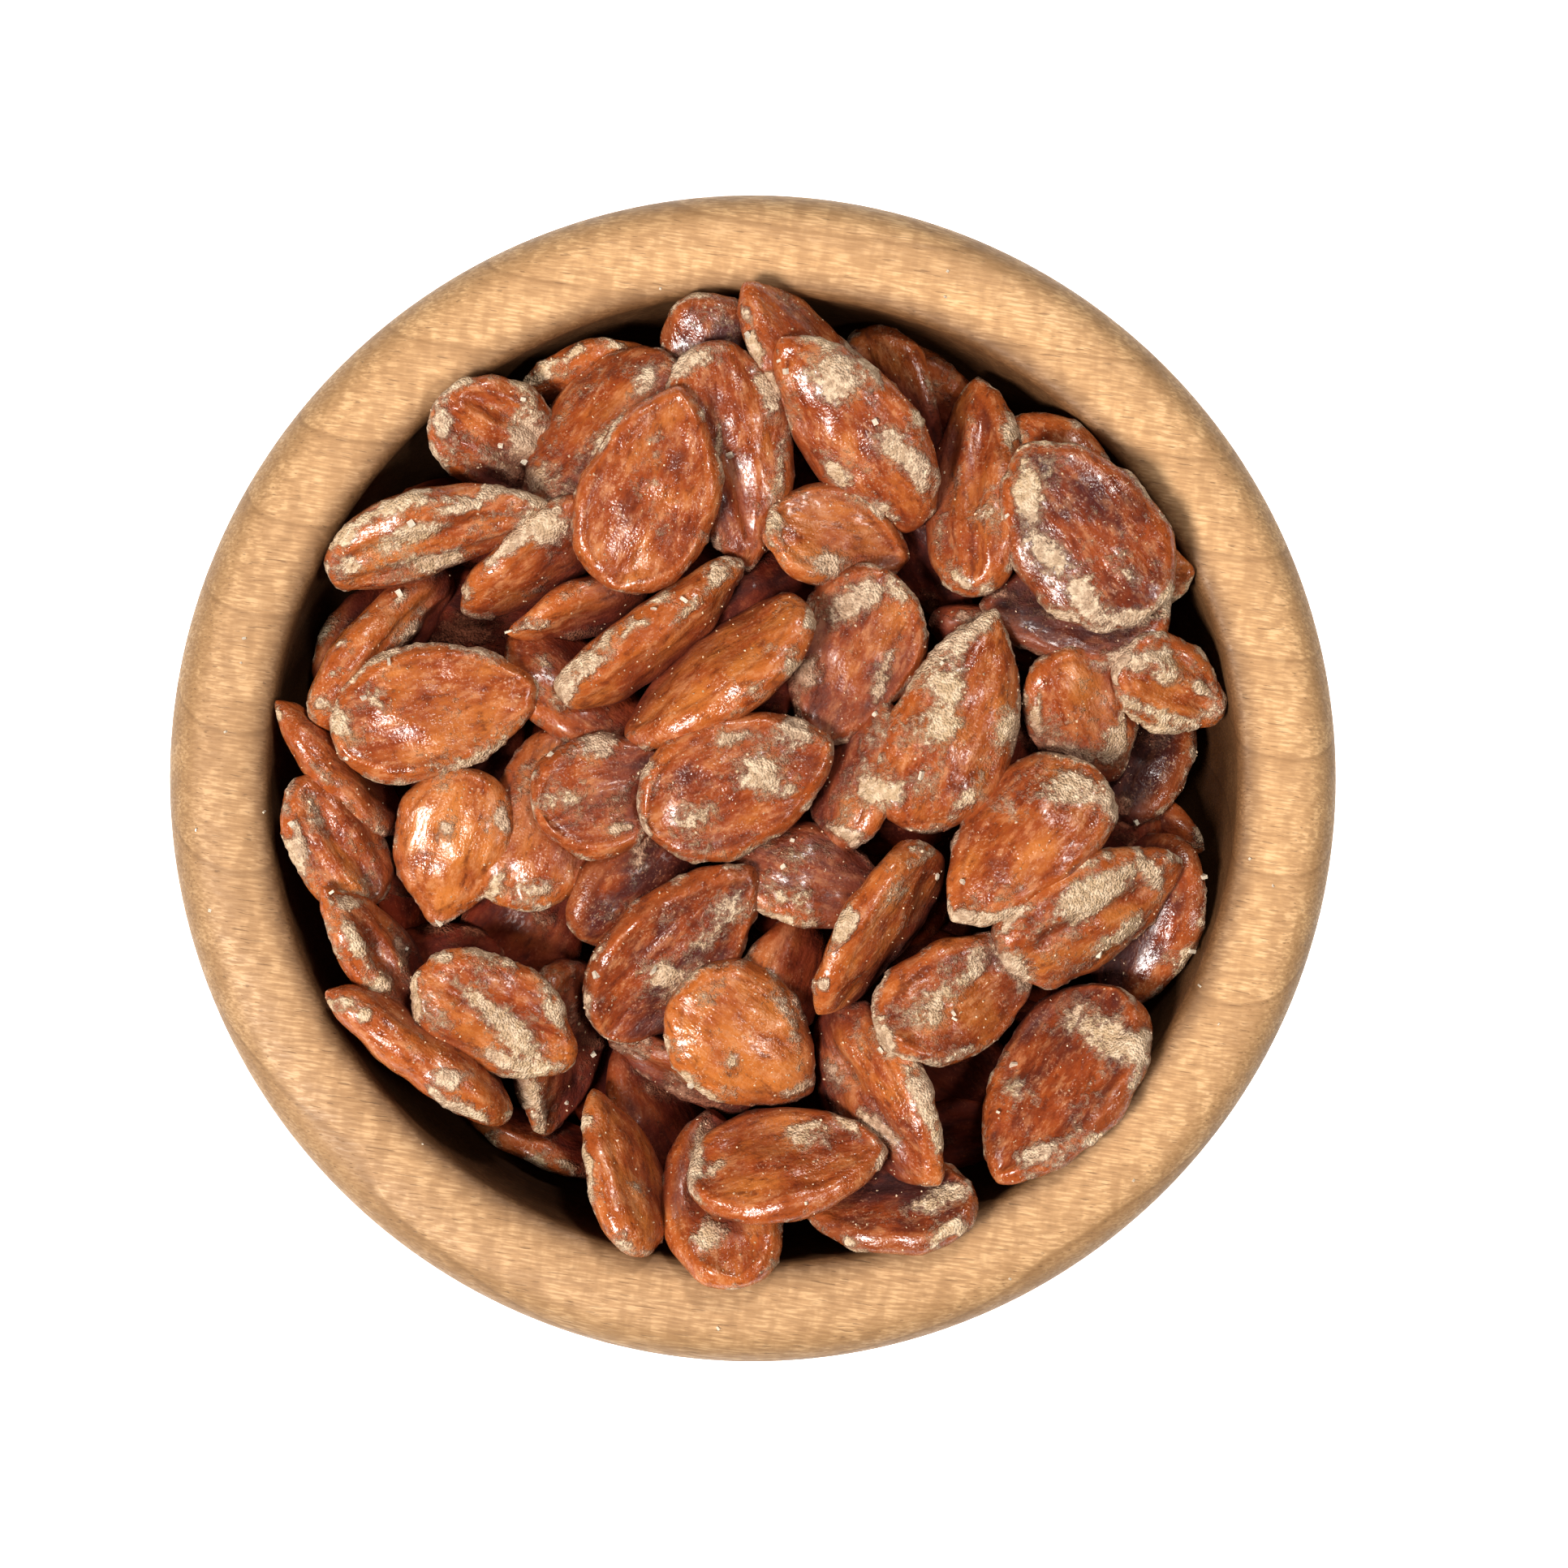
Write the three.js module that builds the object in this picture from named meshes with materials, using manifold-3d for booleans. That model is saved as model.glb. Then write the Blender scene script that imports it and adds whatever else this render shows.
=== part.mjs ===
// A turned wooden bowl heaped with large salted pumpkin seeds. Millimetres, +Z up.
// The origin is the middle of the underside of the bowl's foot.
import * as THREE from "three";
import { mergeVertices } from "three/addons/utils/BufferGeometryUtils.js";
import Module from "manifold-3d";

// ---- driving dimensions: the bowl ----
const RIM_RADIUS = 58; // the widest part, just under the rim
const BOWL_HEIGHT = 44;
const MOUTH_RADIUS = 47.7; // where the rim turns down into the cavity
const CAVITY_FLOOR = 10; // thickness of the wood under the cavity
const CAVITY_FULLNESS = 1.9; // 2 is an ellipse, less is more conical
const MOUTH_ROUND = 1.5; // rounding between rim and cavity
const EDGE_ROUND = 4.5; // rounding between rim and outer wall
const RIM_EDGE_HEIGHT = 43.7; // the rim's two edges lie a little under its middle
const FOOT_RADIUS = 29;
const FOOT_HEIGHT = 4.5;
const FOOT_BEVEL = 1;
const BOWL_SIDES = 48;
const WALL_STEPS = 8;
const ROUND_STEPS = 3;

// ---- driving dimensions: the heap ----
const GAP = 0.3; // between the contents and the wood
const SEED_CLEARANCE = 0.4; // what the lie of a seed leaves to the wood
const PACKED_CROWN = 42.5; // top of the packed seeds below the ones that show, at the middle
const PACKED_FALL = 15; // how far that surface falls by the time it meets the wall
const PACKED_STEPS = 6;
const CORE_SIDES = 36;
const THICKNESS = 0.27; // of a seed, over its length
const TIP_SHARPNESS = 0.74; // 0.5 is round, more is more pointed
const END_SHARPNESS = 0.5;
const BLUNTNESS = 0.8; // under 1 keeps a seed thick towards its ends
const SEED_RINGS = 4;
const SEED_SIDES = 8;
const SEED_SWELL = 1.04; // makes a seed with few sides as bulky as a round one

// ---- how the seeds come to rest ----
const BEDDED_SHARE = 0.2; // share of a seed that may lie in the hollows between and into those under it
const BEDDED_DEPTH = 3; // and how deep at most
const MAP_CELL = 0.5;
const MAP_HALF = 60;
const CONTACT_STEPS = 15; // points along a seed that feel for what is under it
const CONTACT_SIDES = 16;
const COVER_STEPS = 56; // points along a seed that mark where it now lies
const COVER_SIDES = 64;
const TILTS = [-14, -7, 0, 7, 14]; // degrees that a seed may tip from the way it was dropped
const NUDGES = [0, 0.7]; // how far it may slide towards the middle of the bowl
const TILT_COST = 0.03; // mm of height that a degree of tipping has to gain
const NUDGE_COST = 0.7; // mm of height that a mm of sliding has to gain

// The seeds that show, the lowest first: x and y of the middle, length, width, the way the tip points
// (degrees from +X towards +Y), how far the tip lifts, and the roll that lifts its left side (degrees).
const SEEDS = [
  // lying deep, seen only through the gaps
  [18.5, 36.5, 17, 10.5, 310, -10, 25],
  [-17, 34.5, 16, 10, 300, -10, 25],
  [-29.5, 25, 16.5, 10.5, 10, 0, 10],
  [-38.5, 13.5, 15, 10.5, 60, 0, 10],
  [17.5, 21.5, 15.5, 9.5, 298, 0, 25],
  [3.5, 32.5, 15.5, 9.5, 60, 0, 25],
  [1.5, 18, 16, 10.5, 30, 0, 0],
  [36, 21, 17, 10.5, 356, 8, 20],
  [40, -5, 13, 8, 340, 0, 20],
  [36.5, -4.5, 14, 9, 60, 0, 0],
  [27, 2, 15.5, 9.5, 76, 0, 25],
  [-23, -15.5, 18, 12, 50, 0, 0],
  [-32, -19.5, 15.5, 10, 20, 0, 0],
  [-34.5, -3.5, 17, 10.5, 96, 0, -25],
  [-27.5, 2, 14.5, 9, 60, 0, 0],
  [-27.5, 15.5, 17.5, 11, 4, 0, -5],
  [-17.5, 8.5, 17.5, 11, 324, 0, -30],
  [-0.5, 8.5, 14.5, 9, 20, 0, 0],
  [-11.5, -10, 17, 10.5, 44, 0, 25],
  [-10, -34, 17.5, 11, 116, 0, 30],
  [2.5, -20, 15.5, 9.5, 70, 0, 25],
  [21, -29.5, 15.5, 10, 324, 0, 5],
  [20.5, -36.5, 13, 8.5, 10, 0, 30],
  [-21.5, -36.5, 16, 7.5, 160, 0, 62],
  // the middle of the heap and the ring along the wall
  [-3, 39.5, 18.5, 11.5, 292, -14, 10],
  [14.5, 38.5, 16, 10, 294, -20, 35],
  [30.5, 28.5, 19, 11.5, 316, 0, 20],
  [-17, 40, 14, 8.5, 196, 0, -60],
  [-25, 33.5, 17, 11.5, 330, -8, 0],
  [-15.5, 33.5, 21.5, 12.5, 228, 0, 38],
  [-42, 1, 18, 9, 132, 0, 62],
  [-41.5, -6.5, 15, 9.5, 122, 6, 35],
  [-37.5, -17.5, 18.5, 9.5, 124, 10, 52],
  [10, 1, 16.5, 10, 78, 0, -35],
  [24.5, 13.5, 15.5, 7.5, 340, 0, 60],
  [39.5, 3, 16.5, 10, 64, 0, -15],
  [31.5, 16.5, 19, 12, 176, 0, 25],
  [39.5, -15, 19.5, 12, 250, 0, 30],
  [5.5, -10, 16.5, 10.5, 342, 0, -15],
  [-13.5, -39.5, 17.5, 9.5, 108, 0, 52],
  [-3.5, -41.5, 19, 12, 100, -12, 0],
  [13.5, -43, 17.5, 10.5, 184, 0, 20],
  [5.5, 41, 22, 11.5, 132, 4, 35],
  [22, 29, 23, 11, 88, 0, -45],
  [-22, 22, 19, 10.5, 216, 0, -50],
  [-17.5, 16.5, 15, 8, 200, 0, -55],
  [-37, 13, 21, 10, 50, 0, 60],
  [-31.5, 24, 23, 10.5, 16, 0, 50],
  [-21, -4, 19, 12, 76, 0, 0],
  [-7.5, -29.5, 17, 8.5, 156, 0, -60],
  [-33, -27, 22.5, 8.5, 144, 0, 70],
  [-20, -27.5, 18.5, 11.5, 262, 0, -30],
  [32.5, 6, 15.5, 11.5, 300, -8, 0],
  [41, 9, 13.5, 9.5, 332, -8, 5],
  // lying on top
  [-2.5, 31.5, 23, 13, 280, 0, -20],
  [9.5, 34, 23.5, 12, 128, 0, -35],
  [8, 23.5, 15.5, 10.5, 348, 0, -5],
  [-10, 14, 22.5, 9, 38, 0, 62],
  [9.5, 11.5, 19, 13, 248, 0, 0],
  [-4, 10.5, 22.5, 11.5, 216, 0, 42],
  [-14, -1.5, 16.5, 12, 12, 0, 0],
  [-8, -17, 23, 13, 48, 0, 20],
  [12.5, -31.5, 21, 13, 300, 0, 45],
  [3, -38, 20, 12.5, 10, 0, -35],
  [20.5, -21, 20, 12, 28, 0, 30],
  [11.5, -15, 20, 12.5, 236, 0, -45],
  [30.5, -31, 23, 14.5, 236, 0, 18],
  [33, -13, 21, 13, 28, 0, 40],
  [-31.5, 6.5, 21, 13, 14, 0, 0],
  [-30, -7, 16.5, 12, 256, 0, -10],
  [-26, -24, 18.5, 11.5, 330, 0, 25],
  [19.5, 5.5, 23.5, 13, 68, 0, -5],
  [32, 24, 21, 15.5, 128, 0, -5],
  [26, -6.5, 21, 13, 226, 0, 0],
  [-2, -0.5, 20.5, 14, 24, 0, -5],
  [-1, -26, 17.5, 13.5, 322, 0, 0],
  [-10.5, 28, 21, 14, 72, 0, 0],
];

const wood = new THREE.MeshStandardMaterial({ color: 0xc8a573, roughness: 0.5, metalness: 0 });
const seedSkin = new THREE.MeshStandardMaterial({ color: 0x9c5634, roughness: 0.42, metalness: 0 });

const wasm = await Module();
wasm.setup();

// ---- the bowl ----

// Height of the wood's upper face at a distance from the axis, raised by what is to stay clear of it:
// the cavity, the round at its mouth, and the rim.
function woodHeight(radius, clearance) {
  const mouthHeight = RIM_EDGE_HEIGHT - MOUTH_ROUND;
  const round = MOUTH_ROUND + clearance;
  const fromRim = MOUTH_RADIUS + MOUTH_ROUND - radius;
  if (fromRim <= 0) return BOWL_HEIGHT + clearance;
  if (fromRim <= round) return mouthHeight + Math.sqrt(round ** 2 - fromRim ** 2);
  const reach = radius / (MOUTH_RADIUS - clearance);
  const depth = mouthHeight - CAVITY_FLOOR - clearance;
  return mouthHeight - depth * (1 - reach ** CAVITY_FULLNESS) ** (1 / CAVITY_FULLNESS);
}

// Points of an arc from one angle to another, in degrees.
function arc(centreX, centreZ, radius, from, to, steps) {
  return Array.from({ length: steps + 1 }, (_, i) => {
    const angle = THREE.MathUtils.degToRad(from + ((to - from) * i) / steps);
    return new THREE.Vector2(centreX + radius * Math.cos(angle), centreZ + radius * Math.sin(angle));
  });
}

// The belly swells from the foot to the widest part as a quarter of an ellipse.
function bellyProfile(widestHeight) {
  const foot = Math.acos(FOOT_RADIUS / RIM_RADIUS);
  const depth = (widestHeight - FOOT_HEIGHT) / Math.sin(foot);
  return Array.from({ length: WALL_STEPS }, (_, i) => {
    const angle = foot * (1 - i / WALL_STEPS);
    return new THREE.Vector2(RIM_RADIUS * Math.cos(angle), widestHeight - depth * Math.sin(angle));
  });
}

// The cavity's wall from the mouth down to the axis.
function cavityProfile(clearance, topRadius) {
  const turn = Math.asin(Math.min(1, topRadius / (MOUTH_RADIUS - clearance)));
  return Array.from({ length: WALL_STEPS + 1 }, (_, i) => {
    const radius = i === WALL_STEPS ? 0 : (MOUTH_RADIUS - clearance) * Math.sin(turn * (1 - i / WALL_STEPS));
    return new THREE.Vector2(radius, woodHeight(radius, clearance));
  });
}

// three.js turns a profile about Y, so what it makes is stood up along Z.
function turned(profile, sides) {
  const geometry = new THREE.LatheGeometry(profile, sides);
  geometry.rotateX(Math.PI / 2);
  return geometry;
}

function bowlGeometry() {
  const widestHeight = RIM_EDGE_HEIGHT - EDGE_ROUND;
  const edgeCentre = RIM_RADIUS - EDGE_ROUND;
  const mouthCentre = MOUTH_RADIUS + MOUTH_ROUND;
  const profile = [
    new THREE.Vector2(0, 0),
    new THREE.Vector2(FOOT_RADIUS - FOOT_BEVEL, 0),
    new THREE.Vector2(FOOT_RADIUS, FOOT_BEVEL),
    ...bellyProfile(widestHeight),
    ...arc(edgeCentre, widestHeight, EDGE_ROUND, 0, 90, ROUND_STEPS),
    new THREE.Vector2((edgeCentre + mouthCentre) / 2, BOWL_HEIGHT),
    ...arc(mouthCentre, RIM_EDGE_HEIGHT - MOUTH_ROUND, MOUTH_ROUND, 90, 180, ROUND_STEPS).slice(0, -1),
    ...cavityProfile(0, MOUTH_RADIUS),
  ];
  return turned(profile, BOWL_SIDES);
}

// ---- the heap ----

// Top of the packed seeds that nothing shows of, a low dome.
function packedHeight(radius) {
  return PACKED_CROWN - PACKED_FALL * (radius / MOUTH_RADIUS) ** 2;
}

// The radius at which that dome meets the cavity's wall.
function packedRadius() {
  let inside = 0;
  let outside = MOUTH_RADIUS - GAP;
  while (outside - inside > 1e-4) {
    const middle = (inside + outside) / 2;
    if (packedHeight(middle) > woodHeight(middle, GAP)) inside = middle;
    else outside = middle;
  }
  return inside;
}

function coreGeometry() {
  const edge = packedRadius();
  const dome = Array.from({ length: PACKED_STEPS }, (_, i) => {
    const radius = (edge * i) / PACKED_STEPS;
    return new THREE.Vector2(radius, packedHeight(radius));
  });
  return turned([...dome, ...cavityProfile(GAP, edge)].reverse(), CORE_SIDES);
}

// Breadth of a seed at a place along it, from -1 at the round end to 1 at the tip, as a share of its most.
function seedBreadth(along) {
  const widest = (END_SHARPNESS - TIP_SHARPNESS) / (END_SHARPNESS + TIP_SHARPNESS);
  const towardsTip = Math.max(0, (1 - along) / (1 - widest)) ** TIP_SHARPNESS;
  const towardsEnd = Math.max(0, (1 + along) / (1 + widest)) ** END_SHARPNESS;
  return towardsTip * towardsEnd;
}

// A point of a seed's skin: how far along it, and the angle around its length.
function seedPoint(seed, along, around) {
  const breadth = seedBreadth(along);
  return new THREE.Vector3(
    (seed.length / 2) * along,
    (seed.width / 2) * breadth * Math.cos(around),
    (seed.length / 2) * THICKNESS * breadth ** BLUNTNESS * Math.sin(around),
  );
}

// The skin's points by rings, spaced closer at the two ends, turned the way that the seed lies.
function seedPoints(seed, rings, sides) {
  const points = [];
  for (let ring = 1; ring <= rings; ring += 1) {
    const along = -Math.cos((Math.PI * ring) / (rings + 1));
    for (let side = 0; side < sides; side += 1) {
      points.push(seedPoint(seed, along, (2 * Math.PI * side) / sides).applyQuaternion(seed.turn));
    }
  }
  return points;
}

// A seed lies along X with its tip forward until it is rolled, lifted and turned, in that order.
function seedTurn(heading, lift, roll) {
  const [aboutX, aboutY, aboutZ] = [roll, -lift, heading].map((angle) => THREE.MathUtils.degToRad(angle));
  return new THREE.Quaternion().setFromEuler(new THREE.Euler(aboutX, aboutY, aboutZ, "ZYX"));
}

// What lies in the bowl so far, as a height over each cell of a grid.
class Bed {
  constructor() {
    this.side = Math.round((2 * MAP_HALF) / MAP_CELL);
    this.heights = new Float64Array(this.side * this.side);
    for (let row = 0; row < this.side; row += 1) {
      for (let column = 0; column < this.side; column += 1) {
        const x = (column + 0.5) * MAP_CELL - MAP_HALF;
        const y = (row + 0.5) * MAP_CELL - MAP_HALF;
        this.heights[row * this.side + column] = packedHeight(Math.hypot(x, y));
      }
    }
  }

  cell(x, y) {
    const column = Math.floor((x + MAP_HALF) / MAP_CELL);
    const row = Math.floor((y + MAP_HALF) / MAP_CELL);
    return row * this.side + column;
  }

  // The lowest that a seed's middle can lie over a place.
  rest(points, x, y) {
    let onWood = 0;
    const onBed = new Float64Array(points.length);
    points.forEach((point, i) => {
      const wall = woodHeight(Math.hypot(x + point.x, y + point.y), SEED_CLEARANCE);
      onWood = Math.max(onWood, wall - point.z);
      onBed[i] = this.heights[this.cell(x + point.x, y + point.y)] - point.z;
    });
    onBed.sort();
    const most = points.length - 1;
    const bedded = onBed[most - Math.floor(BEDDED_SHARE * points.length)];
    return Math.max(onWood, bedded, onBed[most] - BEDDED_DEPTH);
  }

  cover(seed) {
    for (const point of seedPoints(seed, COVER_STEPS, COVER_SIDES)) {
      const cell = this.cell(seed.x + point.x, seed.y + point.y);
      this.heights[cell] = Math.max(this.heights[cell], seed.z + point.z);
    }
  }
}

// Tips and slides a seed a little, and keeps the way in which it lies lowest.
function settled([x, y, length, width, heading, lift, roll], bed) {
  let best = null;
  for (const tipLift of TILTS) {
    for (const tipRoll of TILTS) {
      const turn = seedTurn(heading, lift + tipLift, roll + tipRoll);
      const points = seedPoints({ length, width, turn }, CONTACT_STEPS, CONTACT_SIDES);
      for (const nudge of NUDGES) {
        const inward = 1 - nudge / Math.max(nudge, Math.hypot(x, y));
        const z = bed.rest(points, x * inward, y * inward);
        const cost = z + TILT_COST * (Math.abs(tipLift) + Math.abs(tipRoll)) + NUDGE_COST * nudge;
        if (best === null || cost < best.cost - 1e-6) {
          best = { x: x * inward, y: y * inward, z, length, width, turn, cost };
        }
      }
    }
  }
  bed.cover(best);
  return best;
}

// A seed with few sides: rings of points, closed by a point at each end.
function seedGeometry(seed) {
  const swollen = { ...seed, width: seed.width * SEED_SWELL };
  const rings = seedPoints(swollen, SEED_RINGS, SEED_SIDES);
  const ends = [-1, 1].map((along) => seedPoint(swollen, along, 0).applyQuaternion(seed.turn));
  const points = [...rings, ...ends];
  const faces = [];
  for (let side = 0; side < SEED_SIDES; side += 1) {
    const next = (side + 1) % SEED_SIDES;
    for (let ring = 0; ring < SEED_RINGS - 1; ring += 1) {
      const here = ring * SEED_SIDES;
      const beyond = here + SEED_SIDES;
      faces.push(here + side, beyond + next, beyond + side);
      faces.push(here + side, here + next, beyond + next);
    }
    const last = (SEED_RINGS - 1) * SEED_SIDES;
    faces.push(rings.length, next, side);
    faces.push(rings.length + 1, last + side, last + next);
  }
  const geometry = new THREE.BufferGeometry().setFromPoints(points);
  geometry.setIndex(faces);
  geometry.translate(seed.x, seed.y, seed.z);
  return geometry;
}

// ---- joining ----

function solidOf(geometry) {
  const bare = geometry.clone();
  bare.deleteAttribute("normal");
  bare.deleteAttribute("uv");
  const merged = mergeVertices(bare, 1e-4);
  const whole = [];
  for (let i = 0; i < merged.index.count; i += 3) {
    const [a, b, c] = [0, 1, 2].map((corner) => merged.index.getX(i + corner));
    if (a !== b && b !== c && c !== a) whole.push(a, b, c);
  }
  return new wasm.Manifold(new wasm.Mesh({
    numProp: 3,
    vertProperties: merged.attributes.position.array,
    triVerts: new Uint32Array(whole),
  }));
}

function geometryOf(solid) {
  const mesh = solid.getMesh();
  const geometry = new THREE.BufferGeometry();
  geometry.setAttribute("position", new THREE.BufferAttribute(mesh.vertProperties, 3));
  geometry.setIndex(new THREE.BufferAttribute(mesh.triVerts, 1));
  geometry.computeVertexNormals();
  return geometry;
}

// The seeds fused on the core. The largest piece is kept, without what it seals in.
function heapGeometry() {
  const bed = new Bed();
  let heap = solidOf(coreGeometry());
  for (const row of SEEDS) {
    heap = heap.add(solidOf(seedGeometry(settled(row, bed))));
  }
  const pieces = heap.decompose().sort((one, other) => other.volume() - one.volume());
  return geometryOf(pieces[0]);
}

// ---- the object ----

function named(name, geometry, material) {
  const mesh = new THREE.Mesh(geometry, material);
  mesh.name = name;
  return mesh;
}

const snack = new THREE.Group();
snack.add(named("bowl", bowlGeometry(), wood));
snack.add(named("seed_heap", heapGeometry(), seedSkin));

export default snack;
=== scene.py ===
"""Dresses a turned wooden bowl that is heaped with large salted pumpkin seeds.

The bowl is one turned piece with its grain along X. The seeds that show lie where a layout drops
them, lowest first, and each one sinks until it rests on those below it or on the wood. Under them
lies a bed of plainer seeds, under that a core, both darkened with painted shade. Salt crystals and
grains of dried crust are strewn over the seeds and rim. Sizes in the classes are millimetres, meshes in metres.
"""

import logging
import math
from dataclasses import dataclass, field
from enum import Enum

import bmesh
import bpy
import numpy as np
from mathutils import Matrix, Vector, noise


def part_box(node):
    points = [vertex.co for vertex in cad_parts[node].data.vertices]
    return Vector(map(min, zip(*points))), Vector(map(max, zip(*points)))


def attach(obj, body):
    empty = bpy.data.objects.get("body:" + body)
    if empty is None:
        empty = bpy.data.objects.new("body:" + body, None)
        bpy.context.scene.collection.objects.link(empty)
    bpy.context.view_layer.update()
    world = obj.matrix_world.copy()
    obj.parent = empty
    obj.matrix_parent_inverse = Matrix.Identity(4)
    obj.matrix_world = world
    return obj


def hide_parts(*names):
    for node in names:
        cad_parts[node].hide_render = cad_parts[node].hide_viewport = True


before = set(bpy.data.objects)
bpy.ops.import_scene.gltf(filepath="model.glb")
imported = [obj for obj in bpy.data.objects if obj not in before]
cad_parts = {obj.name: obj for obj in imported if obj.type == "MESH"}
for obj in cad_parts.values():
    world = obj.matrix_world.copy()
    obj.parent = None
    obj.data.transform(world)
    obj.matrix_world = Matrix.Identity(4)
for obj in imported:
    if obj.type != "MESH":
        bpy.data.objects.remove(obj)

LOG = logging.getLogger("seed_bowl")
MM = 0.001
ROOT = "root"
EYE_HEIGHT = 420.0  # the camera's height over the rim
RIM_PLANE = 44.0  # the height that places were read at
VALUE = "NodeSocketFloat"
COLOUR = "NodeSocketColor"
VECTOR = "NodeSocketVector"

Triple = tuple[float, float, float]
Colour = tuple[float, float, float, float]
Ramp = tuple[float, ...]  # where it starts and ends, and its results there, which are 0 and 1 unless given
Place = tuple[float, float]  # a point of a profile, as radius and height


class SeedForm(Enum):
    """How a seed has dried: the relief that its flat sides took on."""

    PLUMP = "plump"
    DISHED = "dished"
    RIDGED = "ridged"
    GROOVED = "grooved"
    SADDLE = "saddle"


class Tier(Enum):
    """How high in the heap a seed lies. The value names its piece."""

    LOW = "seeds_lying_low"
    MIDDLE = "seeds_between"
    TOP = "seeds_on_top"


PLUMP, DISHED, RIDGED, GROOVED, SADDLE = SeedForm
SeedRow = tuple[float, float, float, float, float, float, float, SeedForm, float, float]

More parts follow.
